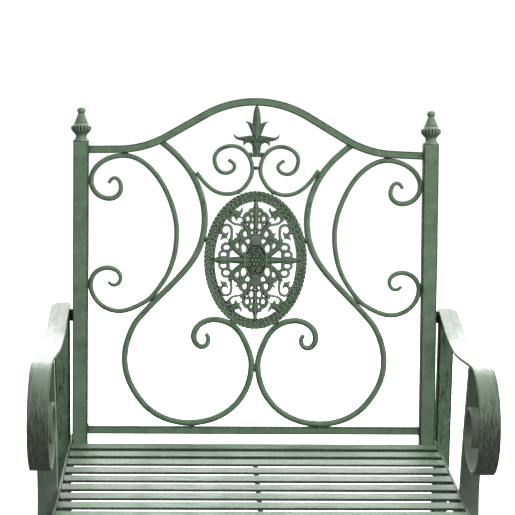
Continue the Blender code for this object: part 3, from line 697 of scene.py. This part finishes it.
class Relief:
    """A casting's face in mm as height over a grid, grown from overlapping strokes."""

    def __init__(self, low, high, step, base, wash_and_painted_shade_depth):
        self.step, self.base, self.wash_and_painted_shade_depth = step, base, wash_and_painted_shade_depth
        self.u_marks = np.arange(low[0], high[0] + step / 2, step)
        self.v_marks = np.arange(low[1], high[1] + step / 2, step)
        self.u, self.v = np.meshgrid(self.u_marks, self.v_marks)
        self.inside = np.full(self.u.shape, -9.0)
        self.height = np.zeros(self.u.shape)

    def add(self, inside, height, where=slice(None)):
        self.inside[where] = np.maximum(self.inside[where], inside)
        self.height[where] = np.maximum(self.height[where],
                                        np.where(inside > -self.step, height, 0))

    def beside(self, a, b, where=slice(None)):
        """For each place, how far along from a to b it lies (0 to 1) and its gap to them."""
        u, v = self.u[where] - a[0], self.v[where] - a[1]
        du, dv = b[0] - a[0], b[1] - a[1]
        t = np.clip((u * du + v * dv) / max(du * du + dv * dv, 1e-9), 0, 1)
        return t, np.hypot(u - t * du, v - t * dv)

    def stroke(self, points, peak, profile="round"):
        """A strand or leaf through (u, v, half width) points."""
        line = smooth_line(points)
        for a, b in zip(line, line[1:]):
            reach = max(a[2], b[2]) + 2 * self.step
            where = ((self.u > min(a[0], b[0]) - reach) & (self.u < max(a[0], b[0]) + reach)
                     & (self.v > min(a[1], b[1]) - reach) & (self.v < max(a[1], b[1]) + reach))
            t, gap = self.beside(a, b, where)
            width = np.maximum(a[2] + t * (b[2] - a[2]), 0.3)
            height = self.base + (peak - self.base) * PROFILES[profile](gap / width)
            self.add(width - gap, height, where)

    def loop(self, middle, half, width, peak):
        """An oval strand round a hole."""
        u, v = self.u - middle[0], self.v - middle[1]
        gap = np.abs(oval_gap(u, v, half))
        height = self.base + (peak - self.base) * PROFILES["round"](gap / width)
        self.add(width - gap, height)

    def crease(self, points, width, depth):
        """A groove cut along a line through (u, v) points."""
        line = smooth_line(points)
        gap = np.min([self.beside(a, b)[1] for a, b in zip(line, line[1:])], 0)
        self.height -= depth * np.exp(-(gap / width) ** 2)

    def mirrored(self):
        """The same relief in all four quarters, from one that starts at (0, 0)."""
        whole = Relief((-self.u_marks[-1], -self.v_marks[-1]),
                       (self.u_marks[-1], self.v_marks[-1]), self.step, self.base,
                       self.wash_and_painted_shade_depth)
        for field in ("inside", "height"):
            quarter = getattr(self, field)
            half = np.hstack([quarter[:, :0:-1], quarter])
            setattr(whole, field, np.vstack([half[:0:-1], half]))
        return whole

    def soften(self):
        """Melt the junctions together a little, as a mould does."""
        solid = self.inside > 0
        near = neighbours(np.where(solid, self.height, np.nan), 1, constant_values=np.nan)
        with np.errstate(all="ignore"):
            mean = np.nanmean(np.where(solid, near, 0), 0)
        self.height = np.where(solid, 0.45 * self.height + 0.55 * mean, self.height)

    def wash_painted_shade_and_highlight(self):
        """1 in the hollows (dark wash and painted shade), 0 on even ground and -1 on the ridges
        (painted highlight), against what lies near.
        """
        peak = neighbours(self.height, 2, mode="edge").max(0)
        mean = neighbours(self.height, 1, mode="edge").mean(0)
        # hollows get dark wash with painted shade, ridges a painted highlight
        hollow = np.clip((peak - self.height - 0.30) / self.wash_and_painted_shade_depth, 0, 1)
        ridge = np.clip((self.height - mean) / 0.42, 0, 1)
        return np.where(hollow > 0.12, hollow, -ridge)

    def build(self):
        """Front and back faces inside the outline with a wall between, and their wash, painted
        shade and painted highlights.
        """
        rows, columns = self.u.shape
        points, wash, front_of = [], [], {}
        low = self.wash_painted_shade_and_highlight()

        def vertex(key, u, v, height, dark):
            if key not in front_of:
                front_of[key] = len(points) // 2
                points.append((u, v, -height))
                points.append((u, v, BACK_SHARE * height))
                wash.extend((dark, dark))
            return front_of[key]

        def corner(r, c):
            return vertex((r, c), self.u[r, c], self.v[r, c],
                          max(self.height[r, c], self.base), low[r, c])

        def crossing(first, second):
            key = (min(first, second), max(first, second))
            a, b = key
            share = self.inside[a] / (self.inside[a] - self.inside[b])
            share = min(0.85, max(0.15, share))
            return vertex(key, self.u[a] + share * (self.u[b] - self.u[a]),
                          self.v[a] + share * (self.v[b] - self.v[a]), self.base * 0.8,
                          RIM_WASH_AND_PAINTED_SHADE)

        faces = []
        solid = self.inside > 0
        for r in range(rows - 1):
            for c in range(columns - 1):
                ring = ((r, c), (r, c + 1), (r + 1, c + 1), (r + 1, c))
                if not any(solid[spot] for spot in ring):
                    continue
                outline = []
                for here, after in zip(ring, ring[1:] + ring[:1]):
                    if solid[here]:
                        outline.append((corner(*here), False))
                    if solid[here] != solid[after]:
                        outline.append((crossing(here, after), True))
                front = [2 * index for index, _ in outline]
                faces.append(tuple(front))
                faces.append(tuple(index + 1 for index in reversed(front)))
                for (a, a_rim), (b, b_rim) in zip(outline, outline[1:] + outline[:1]):
                    if a_rim and b_rim:
                        faces.append((2 * b, 2 * a, 2 * a + 1, 2 * b + 1))
        return np.array(points) * MM, faces, np.array(wash)


# ---------------------------------------------------------------- oval medallion
MEDALLION_V = 0.2862
MEDALLION_HALF = (88.4, 118.6)
RING_WIDTH = 18.8
ROPE_WIDTH = 6.6
GADROONS = 84
VINE_WAVES = 42
BOSS_HALF = (20.4, 30.0)
BOSS_SCROLLS = 8
STRANDS = [          # one quarter of the filigree, (u, v, half width) in mm
    [(3.2, 76.5, 2.2), (3.0, 82.5, 1.6), (5.2, 87.0, 1.9), (9.4, 86.0, 1.9), (11.0, 82.5, 1.7),
     (17.0, 79.5, 1.8), (21.0, 73.0, 1.8), (20.5, 66.5, 1.8)],
    [(11.5, 40.0, 2.2), (12.8, 48.0, 2.4), (17.0, 56.5, 3.0), (20.5, 60.5, 3.2),
     (25.8, 65.5, 0.6)],
    [(20.0, 57.5, 1.8), (26.0, 60.2, 1.6), (36.6, 62.2, 1.6), (42.6, 66.0, 1.7),
     (46.5, 71.5, 2.4)],
    [(24.0, 89.6, 0.8), (24.4, 84.5, 1.7), (28.0, 80.0, 2.6), (33.0, 78.8, 4.6),
     (38.5, 82.5, 3.4), (42.0, 84.5, 2.6)],
    [(33.0, 77.0, 3.6), (28.5, 75.0, 1.9), (24.4, 72.4, 0.7)],
    [(33.0, 78.0, 3.8), (33.2, 72.5, 2.2), (32.6, 67.6, 0.6)],
    [(36.0, 80.0, 3.2), (41.5, 76.0, 2.2), (43.5, 71.0, 1.7), (43.0, 66.5, 1.5)],
    [(16.5, 52.5, 1.9), (21.5, 52.0, 2.0), (25.8, 47.5, 2.1), (26.6, 41.5, 2.4)],
    [(26.0, 41.0, 2.4), (30.0, 43.0, 2.0), (34.0, 46.8, 0.6)],
    [(27.0, 38.5, 2.4), (32.0, 37.0, 1.8), (36.5, 36.5, 0.6)],
    [(11.5, 23.5, 1.9), (17.5, 29.5, 1.9), (23.0, 36.5, 3.2)],
    [(23.5, 8.5, 1.8), (25.8, 16.5, 1.8), (26.4, 26.0, 1.9), (24.5, 36.0, 2.8)],
    [(16.0, 6.0, 4.0), (25.0, 10.5, 3.4), (34.5, 18.0, 3.2), (40.5, 26.5, 3.4),
     (43.5, 34.0, 2.6)],
    [(26.0, 36.5, 2.2), (32.0, 34.0, 2.0), (40.0, 31.5, 2.2), (47.0, 34.5, 0.7)],
    [(42.5, 31.0, 2.4), (41.4, 40.0, 1.9), (41.0, 50.0, 1.8), (43.2, 57.5, 1.8),
     (49.5, 60.3, 1.8), (55.5, 58.5, 1.8), (58.8, 53.0, 2.0), (60.5, 47.5, 2.4)],
    [(59.6, 34.6, 0.7), (56.8, 38.5, 1.8), (53.0, 41.8, 3.0), (49.5, 44.0, 1.8),
     (46.8, 48.4, 0.7)],
    [(53.0, 41.5, 2.8), (50.8, 38.8, 1.6), (48.6, 37.0, 0.6)],
    [(53.0, 41.8, 2.6), (57.0, 46.0, 2.0), (59.0, 50.5, 1.8)],
    [(46.2, 0.0, 2.0), (46.2, 7.0, 1.9), (46.0, 16.0, 2.0)],
    [(38.0, 23.5, 2.2), (43.0, 17.5, 2.0), (50.0, 15.4, 1.9)],
    [(49.0, 0.0, 2.4), (54.0, 3.6, 1.8), (60.0, 5.4, 0.8)],
]
LOOPS = [            # round each hole: (u, v), half axes, half width
    ((6.6, 79.8), (3.4, 4.3), 1.7), ((13.6, 71.0), (5.3, 6.2), 1.9),
    ((6.6, 58.4), (5.0, 6.8), 1.7), ((16.8, 44.8), (7.2, 7.4), 1.9),
    ((13.8, 32.3), (6.0, 6.9), 1.7), ((20.2, 20.5), (6.4, 9.3), 1.7),
    ((31.4, 24.2), (5.0, 6.9), 1.8), ((49.6, 21.6), (7.6, 6.6), 1.9),
    ((54.6, 9.4), (7.2, 6.0), 1.7),
]
SPEARS = [
    [(0, 56, 2.0), (0, 68, 3.2), (0, 80, 4.4), (0, 88, 4.0), (0, 94, 2.8), (0, 101, 2.2)],
    [(17, 0, 5.0), (28, 0, 4.6), (36, 0, 4.2), (43, 0, 3.6), (50, 0, 4.6), (57, 0, 5.4),
     (63, 0, 4.2), (71, 0, 2.1)],
]
KNOBS = [(0, 54.5, 3.2), (3.0, 49.8, 2.5), (0, 46.5, 2.4), (39.0, 0, 5.0), (34.0, 0, 4.2),
         (24.5, 37.4, 3.7), (42.6, 31.0, 3.4)]
STOUT = 1.30         # strands with their paint
PALMETTE_FOOT, PALMETTE_TOP, PALMETTE_SPREAD = 26.0, 47.0, 10.0


def stouter(points, share):
    return [(u, v, half * share) for u, v, half in points]


def filigree():
    """One quarter from its strands, loops, spears, knobs and palmette, and then all four."""
    relief = Relief((0, 0), (MEDALLION_HALF[0] + 3, MEDALLION_HALF[1] + 3), step=0.75,
                    base=1.5, wash_and_painted_shade_depth=1.7)
    for points in STRANDS:
        relief.stroke(stouter(points, STOUT), 4.2)
    for middle, half, width in LOOPS:
        relief.loop(middle, half, width * STOUT, 4.0)
    for points in SPEARS:
        relief.stroke(stouter(points, STOUT), 5.0, "ridge")
    for u, v, radius in KNOBS:
        relief.stroke([(u - 0.1, v, radius), (u + 0.1, v, radius)], 5.0)
    for flute in range(4):
        lean = PALMETTE_SPREAD * flute / 3
        top = PALMETTE_TOP - 6.6 * (flute / 3) ** 2
        relief.stroke([(lean * 0.45, PALMETTE_FOOT, 2.0), (lean * 0.70, 36.0, 1.9),
                       (lean, top, 1.5)], 4.8)
    return relief.mirrored()


def rim_length(angle_marks, half):
    """How far round an oval each angle lies."""
    rim = np.column_stack([half[0] * np.cos(angle_marks), half[1] * np.sin(angle_marks)])
    return distances(rim)


def add_medallion_ring(relief):
    """A rope of slanted gadroons outside, and a band of crossing vines inside."""
    marks = np.linspace(-math.pi, math.pi, 721)
    far = rim_length(marks, MEDALLION_HALF)
    angle = np.arctan2(relief.v / MEDALLION_HALF[1], relief.u / MEDALLION_HALF[0])
    turn = np.interp(angle, marks, far / far[-1])
    inward = oval_gap(relief.u, relief.v, MEDALLION_HALF)
    opening = oval_gap(relief.u, relief.v, [half - RING_WIDTH for half in MEDALLION_HALF])
    slant = inward / far[-1] * 1.25
    lap = (GADROONS * (turn + slant)) % 1.0
    rib = np.minimum(lap / 0.14, 1 - 0.72 * (lap - 0.14) / 0.86)
    share = np.clip(np.abs(inward - ROPE_WIDTH / 2) / (ROPE_WIDTH / 2), 0, 1)
    rope = 1.5 + 3.0 * np.sqrt(1 - share ** 2) * (0.05 + 0.95 * rib)
    relief.add(np.minimum(inward - 1.3 * (1 - rib), RING_WIDTH - inward),
               rope * (inward < ROPE_WIDTH))
    phase = 2 * math.pi * VINE_WAVES * turn
    across = (inward - ROPE_WIDTH) / (RING_WIDTH - ROPE_WIDTH)
    vine = np.sin(phase + 2.4 * across + 1.1 * np.sin(phase / 3 + 4.0 * across))
    tendril = np.cos(phase / 2 - 7.0 * across + 0.9 * np.sin(phase / 3.5))
    band = 1.5 + 1.8 * np.maximum(np.exp(-(vine / 0.34) ** 2), np.exp(-(tendril / 0.26) ** 2))
    for edge in (ROPE_WIDTH + 0.5, RING_WIDTH - 0.9):
        band = np.maximum(band, 1.6 + 1.5 * np.exp(-((inward - edge) / 0.60) ** 2))
    relief.add(np.minimum(inward - ROPE_WIDTH + 1, -opening), band)


def add_medallion_boss(relief):
    """A rimmed oval with a rosette and a ring of small scrolls."""
    inward = oval_gap(relief.u, relief.v, BOSS_HALF)
    rim = 2.4 + 3.4 * np.exp(-((inward - 1.4) / 0.9) ** 2)
    share = np.hypot(relief.u / BOSS_HALF[0], relief.v / BOSS_HALF[1])
    angle = np.arctan2(relief.v / BOSS_HALF[1], relief.u / BOSS_HALF[0])
    petals = np.abs(np.cos(3 * angle))
    field = 2.4 + 2.4 * np.exp(-(share / 0.10) ** 2) \
        + 2.4 * petals * np.exp(-((share - 0.26) / 0.08) ** 2)
    for index in range(BOSS_SCROLLS):
        around = 2 * math.pi * (index + 0.5) / BOSS_SCROLLS
        du = relief.u - BOSS_HALF[0] * 0.60 * math.cos(around)
        dv = relief.v - BOSS_HALF[1] * 0.60 * math.sin(around)
        radius = np.hypot(du, dv)
        curl = np.abs(radius - 2.5 - 0.35 * np.arctan2(dv, du) * (1 if index % 2 else -1))
        field = np.maximum(field, 2.4 + 2.8 * np.exp(-(curl / 0.70) ** 2) * (radius < 4.6))
    relief.add(inward, np.maximum(rim, field))


def make_medallion():
    relief = filigree()
    opening = oval_gap(relief.u, relief.v, [half - RING_WIDTH + 2 for half in MEDALLION_HALF])
    relief.inside = np.minimum(relief.inside, opening)
    add_medallion_ring(relief)
    add_medallion_boss(relief)
    relief.soften()
    points, faces, wash = relief.build()
    placed = points + (0, MEDALLION_V, 0)
    make_piece("medallion_casting", in_panel(placed), faces, CAST_PAINT,
               points, wash, ("cast_medallion",), sharp=55)


# ---------------------------------------------------------------- fleur-de-lis spear
FLEUR_FOOT = 462.0
FLEUR_STROKES = [    # right half, (u, v above the foot, half width) in mm, peak, profile
    ([(0, 2.0, 5.8), (0, 6, 5.4), (0, 11, 6.4), (0, 18, 7.0), (0, 25, 6.6), (0, 33, 5.5)], 3.4,
     "round"),
    ([(3, 1.2, 1.4), (7.2, 2.0, 1.8)], 3.0, "round"),
    ([(0, 30, 3.0), (0, 40, 5.6), (0, 50, 6.8), (0, 60, 6.6), (0, 67, 6.2), (0, 74, 5.4),
      (0, 81, 3.9), (0, 85, 2.4), (0, 87.0, 0.8)], 4.8, "ridge"),
    ([(2.5, 36, 3.6), (6.6, 47, 4.0), (10.2, 54.5, 3.4), (15.0, 58.8, 1.7), (20.3, 60.4, 0.4)],
     3.8, "vein"),
    ([(1.0, 28, 4.0), (6.5, 31.5, 4.9), (12, 31.2, 5.0), (18, 30.6, 4.6), (24, 31.0, 3.5),
      (30, 31.3, 2.6), (34.5, 33.0, 2.1), (37.4, 36.0, 1.3), (39.2, 39.5, 0.4)], 4.4, "vein"),
    ([(15, 29.5, 3.8), (19, 26.4, 3.0), (21.0, 23.0, 1.7), (21.5, 18.6, 0.4)], 4.0, "round"),
    ([(4, 22.0, 3.8), (8.5, 26.0, 3.4), (13, 27.5, 3.0)], 3.4, "round"),
]
FLEUR_CREASES = [
    [(6.6, 42.0), (4.8, 35.0), (0.0, 25.0)], [(3.4, 18.0), (4.4, 12.0)],
    [(5.0, 23.5), (9.5, 29.5), (15.0, 31.0), (22.0, 29.2), (27.0, 30.4)],
    [(6.2, 19.5), (10.0, 25.0), (14.5, 27.5), (19.0, 23.0)],
    [(6.4, 42.0), (9.4, 50.0), (12.5, 55.0)],
]
FLEUR_STOUT = 1.06
CREASE_WIDTH, CREASE_DEPTH = 0.8, 1.6


def make_fleur():
    relief = Relief((0, 0), (42, 93), step=0.5, base=1.3, wash_and_painted_shade_depth=1.1)
    for points, peak, profile in FLEUR_STROKES:
        relief.stroke(stouter(points, FLEUR_STOUT), peak, profile)
    for points in FLEUR_CREASES:
        relief.crease(points, CREASE_WIDTH, CREASE_DEPTH)
    whole = relief.mirrored()
    keep = whole.v_marks > -0.1
    for field in ("u", "v", "inside", "height"):
        setattr(whole, field, getattr(whole, field)[keep])
    whole.soften()
    points, faces, wash = whole.build()
    placed = points + (0, FLEUR_FOOT * MM, 0)
    make_piece("fleur_casting", racked(placed), faces, CAST_PAINT, points,
               wash, ("fleur_de_lis",), sharp=55)


# ---------------------------------------------------------------- welds
def bead_parts(middle, half, seed):
    """One lumpy bead: a ball pulled to its half axes and roughened."""
    work = bmesh.new()
    bmesh.ops.create_icosphere(work, subdivisions=3, radius=1)
    ball = np.array([v.co for v in work.verts])
    faces = [tuple(v.index for v in f.verts) for f in work.faces]
    work.free()
    lumps = np.array([noise.noise(Vector(p) * 1.7 + Vector((seed, 0, 0))) for p in ball])
    fine = np.array([noise.noise(Vector(p) * 4.5 + Vector((0, seed, 0))) for p in ball])
    ball = ball * (1 + 0.30 * lumps + 0.14 * fine)[:, None]
    # darker in the bead's dips: dark wash with painted shade
    wash = np.clip(0.45 - 1.1 * lumps, 0.0, 0.9)
    return ball * half + middle, faces, wash


def make_beads(name, beads, to_row_frame):
    """Several beads, each (across, up) with its half axes in mm, as one piece."""
    points, faces, wash = np.empty((0, 3)), [], []
    for index, (across, up, *half) in enumerate(beads):
        ball, ball_faces, dark = bead_parts(np.array((across, up, 0)) * MM,
                                            np.array(half) * MM, 3.7 * index + 1)
        faces += [tuple(v + len(points) for v in face) for face in ball_faces]
        points = np.vstack([points, ball])
        wash.extend(dark)
    make_piece(name, to_row_frame(points), faces, WELD_PAINT, points,
               np.array(wash))


def make_panel_welds():
    beads = [(sign * u, *rest) for u, *rest in WELDS for sign in (-1, 1)]
    make_beads("panel_welds", beads + MIDDLE_WELDS, racked)


# ---------------------------------------------------------------- side frames
ARM_CORNER = 0.019            # rounding of the arm's rear outer corner, in plan
SIDE_WELDS = [(-304.0, 632.5, 4.2, 3.4, 12.0),      # (b, z) and half axes in mm
              (LEG_AXIS_B / MM - 13.5, 642.0, 2.6, 3.0, 10.0)]


def rounded_corner(line):
    """How much of its width the arm keeps towards the outer side near its rear end."""
    along = distances(line)
    short = np.clip(ARM_CORNER - along, 0, ARM_CORNER)
    cut = ARM_CORNER - np.sqrt(ARM_CORNER ** 2 - short ** 2)
    return 1 - cut / ARM_WIDTH


def close_start(path, coarse=0.003, fine=0.0007):
    """A path with extra points near its start, where the arm's corner is rounded."""
    near = follow(path, fine)[:int(ARM_CORNER / fine) + 2]
    return np.vstack([near, follow(path, coarse)[int(len(near) * fine / coarse) + 1:]])


def volute_drips(line):
    """The wash that ran down the front of the arm's roll."""
    return 0.58 * np.clip((0.632 - line[:, 1]) / 0.05, 0, 1) * (line[:, 0] < -0.38)


def leg_drips(line):
    """The thin wash below the rear leg's top end."""
    return 0.18 * np.clip((0.625 - line[:, 1]) / 0.03, 0, 1)


def flat_with_painted_highlight(thick, radius, middle, share=1.0):
    """A flat bar's section with a painted highlight on its narrow sides, and a share of the other
    wash.
    """
    flat = bar_section(thick, ARM_WIDTH, radius, middle)
    narrow = np.abs(flat[:, 1]) > ARM_WIDTH / 2 - radius - 0.0001
    # painted highlight on the narrow sides
    flat[:, 2] = np.where(narrow, -1.0, flat[:, 2] * share)
    return flat


def make_side_frames():
    arm_flat = flat_with_painted_highlight(ARM_THICKNESS, 0.0008, 7, share=0.8)
    leg_flat = flat_with_painted_highlight(LEG_BAR_THICKNESS, 0.0009, 5)
    tube = bar_section(TUBE, TUBE, 0.0020, middle=4)
    for side, sign in SIDES:
        arm_place, leg_place = in_side(sign * ARM_X), in_side(sign * LEG_X)

        def outward(rows):
            return arm_place(rows * (1, 1, sign))
        bar(f"{side}_arm", close_start(ARM), arm_flat, outward, FLAT_PAINT, inset=0.05,
            squeeze=rounded_corner, rough=0.00014, drips=volute_drips)
        bar(f"{side}_front_leg", follow(FRONT_LEG, 0.004), leg_flat, outward, FLAT_PAINT,
            inset=0.05, rough=0.00012)
        bar(f"{side}_rear_leg", follow(REAR_LEG, 0.006), tube, leg_place, LEG_PAINT,
            inset=0.03, rough=0.00016, drips=leg_drips)
        low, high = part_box(f"{side}_stretcher")
        ends = np.array([(b - FOOT_Y, (low.z + high.z) / 2) for b in (low.y, high.y)])
        bar(f"{side}_stretcher", even_steps(ends, 0.005), round_section(STRETCHER_ROD),
            leg_place, ROD_PAINT)
        beads = [(*end / MM, 3.5, 6.2, 6.8) for end in ends]
        make_beads(f"{side}_side_welds", beads + SIDE_WELDS, leg_place)


ACROSS, BACKWARDS = 0, 1      # the axis that a seat bar runs on
SEAT_STEPS = (0.012, 0.010)   # between the rings, on each axis


def seat_bar(name, radius, along):
    """A straight bar filling a CAD node's box."""
    low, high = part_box(name)
    middle, size = (low + high) / 2, high - low
    beside = 1 - along

    def place(rows):
        placed = np.empty_like(rows)
        placed[:, along] = rows[:, 0]
        placed[:, beside] = rows[:, 2] + middle[beside]
        placed[:, 2] = rows[:, 1]
        return placed

    ends = np.array([(low[along], middle.z), (high[along], middle.z)])
    bar(name, even_steps(ends, SEAT_STEPS[along]),
        bar_section(size.z, size[beside], radius, middle=3 - along), place, SEAT_PAINT,
        inset=0.04, rough=0.00012)


def make_seat():
    for index in range(SLAT_COUNT):
        seat_bar(f"seat_slat_{index + 1}", 0.0013, ACROSS)
    for name in ("seat_front_rail", "seat_rear_rail"):
        seat_bar(name, 0.0012, ACROSS)
    seat_bar("seat_centre_bar", 0.0012, BACKWARDS)
    for side, _ in SIDES:
        seat_bar(f"{side}_seat_bar", 0.0012, BACKWARDS)
        seat_bar(f"{side}_side_rail", 0.0014, BACKWARDS)


# ---------------------------------------------------------------- kept CAD pieces
def dress(name, finish, bevel):
    """A CAD piece that stays as it is, with softened edges and a proper finish."""
    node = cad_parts[name]
    node.data.materials.clear()
    node.data.materials.append(finish)
    for face in node.data.polygons:
        face.material_index = 0
    edges = node.modifiers.new("edges", "BEVEL")
    edges.width = bevel
    edges.segments = 2
    edges.limit_method = "ANGLE"
    edges.angle_limit = math.radians(50)


KEPT_PIECES = [                # names, finish, slot, bevel
    (("arm_bolt", "back_bolt", "front_seat_bolt", "rear_seat_bolt", "front_cap_nut",
      "rear_cap_nut"), ZINC, "zinc_steel", 0.0003),
    (("spacer", "post_plug"), BLACK_PLASTIC, "black_plastic", 0.0006),
    (("rear_foot",), BLACK_RUBBER, "black_rubber", 0.0008),
    (("front_pad",), BLACK_RUBBER, "black_rubber", 0.0006),
]


def dress_cad_pieces():
    for side, _ in SIDES:
        for names, finish, slot, bevel in KEPT_PIECES:
            for name in names:
                dress(f"{side}_{name}", finish, bevel)


# ---------------------------------------------------------------- studio
CAMERA_AHEAD = 3.0            # in front of the panel's foot
CAMERA_X, CAMERA_Z = -0.1088, 1.3025
CAMERA_PITCH, CAMERA_YAW, CAMERA_ROLL = (math.radians(a) for a in (10.5, 2.107, 0.805))
CAMERA_LENS, SENSOR = 126.93, 36.0


def make_camera():
    ahead = Vector((math.sin(CAMERA_YAW) * math.cos(CAMERA_PITCH),
                    math.cos(CAMERA_YAW) * math.cos(CAMERA_PITCH), -math.sin(CAMERA_PITCH)))
    level = Vector((math.cos(CAMERA_YAW), -math.sin(CAMERA_YAW), 0))
    above = level.cross(ahead)
    right = level * math.cos(CAMERA_ROLL) + above * math.sin(CAMERA_ROLL)
    up = above * math.cos(CAMERA_ROLL) - level * math.sin(CAMERA_ROLL)
    data = bpy.data.cameras.new("camera")
    data.lens, data.sensor_width = CAMERA_LENS, SENSOR
    camera = bpy.data.objects.new("camera", data)
    turn = Matrix((right, up, -ahead)).transposed().to_4x4()
    camera.matrix_world = Matrix.Translation((CAMERA_X, FOOT_Y - CAMERA_AHEAD, CAMERA_Z)) @ turn
    bpy.context.scene.collection.objects.link(camera)
    bpy.context.scene.camera = camera


def make_floor():
    """A wide pale floor that lights nothing from below."""
    half = 45.0
    mesh = bpy.data.meshes.new("floor")
    corners = ((-half, -half), (half, -half), (half, half), (-half, half))
    mesh.from_pydata([(x, y, -0.0005) for x, y in corners], [], [(0, 1, 2, 3)])
    floor = bpy.data.objects.new("floor", mesh)
    bpy.context.scene.collection.objects.link(floor)
    floor.visible_diffuse = False
    floor.visible_glossy = False
    paint = Paint("studio_paper")
    paint.set(Base_Color=(0.90, 0.90, 0.90, 1), Roughness=0.9, Emission_Color=(1, 1, 1, 1),
              Emission_Strength=0.85)
    mesh.materials.append(paint.material)


def make_world():
    """Plain white to look at, and a dimmer even light on the bench."""
    world = bpy.data.worlds.new("studio")
    world.use_nodes = True
    tree = world.node_tree
    seen = tree.nodes.new("ShaderNodeLightPath").outputs["Is Camera Ray"]
    strength = tree.nodes.new("ShaderNodeMapRange")
    strength.inputs["To Min"].default_value = 0.24
    strength.inputs["To Max"].default_value = 1.0
    tree.links.new(seen, strength.inputs["Value"])
    background = tree.nodes["Background"]
    background.inputs["Color"].default_value = (1, 1, 1, 1)
    tree.links.new(strength.outputs["Result"], background.inputs["Strength"])
    bpy.context.scene.world = world


def add_softbox(name, place, target, wide, high, power, mirrored=True):
    data = bpy.data.lights.new(name, "AREA")
    data.shape = "RECTANGLE"
    data.size, data.size_y = wide, high
    data.energy = power
    light = bpy.data.objects.new(name, data)
    aim = Vector(target) - Vector(place)
    turn = aim.to_track_quat("-Z", "Y").to_matrix().to_4x4()
    light.matrix_world = Matrix.Translation(place) @ turn
    light.visible_camera = False
    light.visible_glossy = mirrored
    bpy.context.scene.collection.objects.link(light)


def make_studio():
    make_floor()
    make_world()
    bpy.context.scene.view_settings.view_transform = "Standard"
    middle = (0, 0.1, 0.75)
    add_softbox("softbox_front", (0.7, -1.9, 2.5), middle, 1.8, 1.2, 54, False)
    add_softbox("softbox_right", (2.5, -0.5, 1.4), middle, 1.0, 2.0, 42)
    add_softbox("softbox_left", (-2.5, -1.6, 1.4), middle, 1.0, 2.0, 9)
    add_softbox("softbox_back", (0, 3.3, 2.15), (0, 0, 0.7), 4.0, 2.4, 205)
    add_softbox("softbox_top", (0, 0.8, 3.3), (0, 0.2, 0.7), 3.0, 2.6, 30)


make_posts()
make_rails()
make_scrolls()
make_finials()
make_medallion()
make_fleur()
make_panel_welds()
make_side_frames()
make_seat()
dress_cad_pieces()
make_studio()
make_camera()
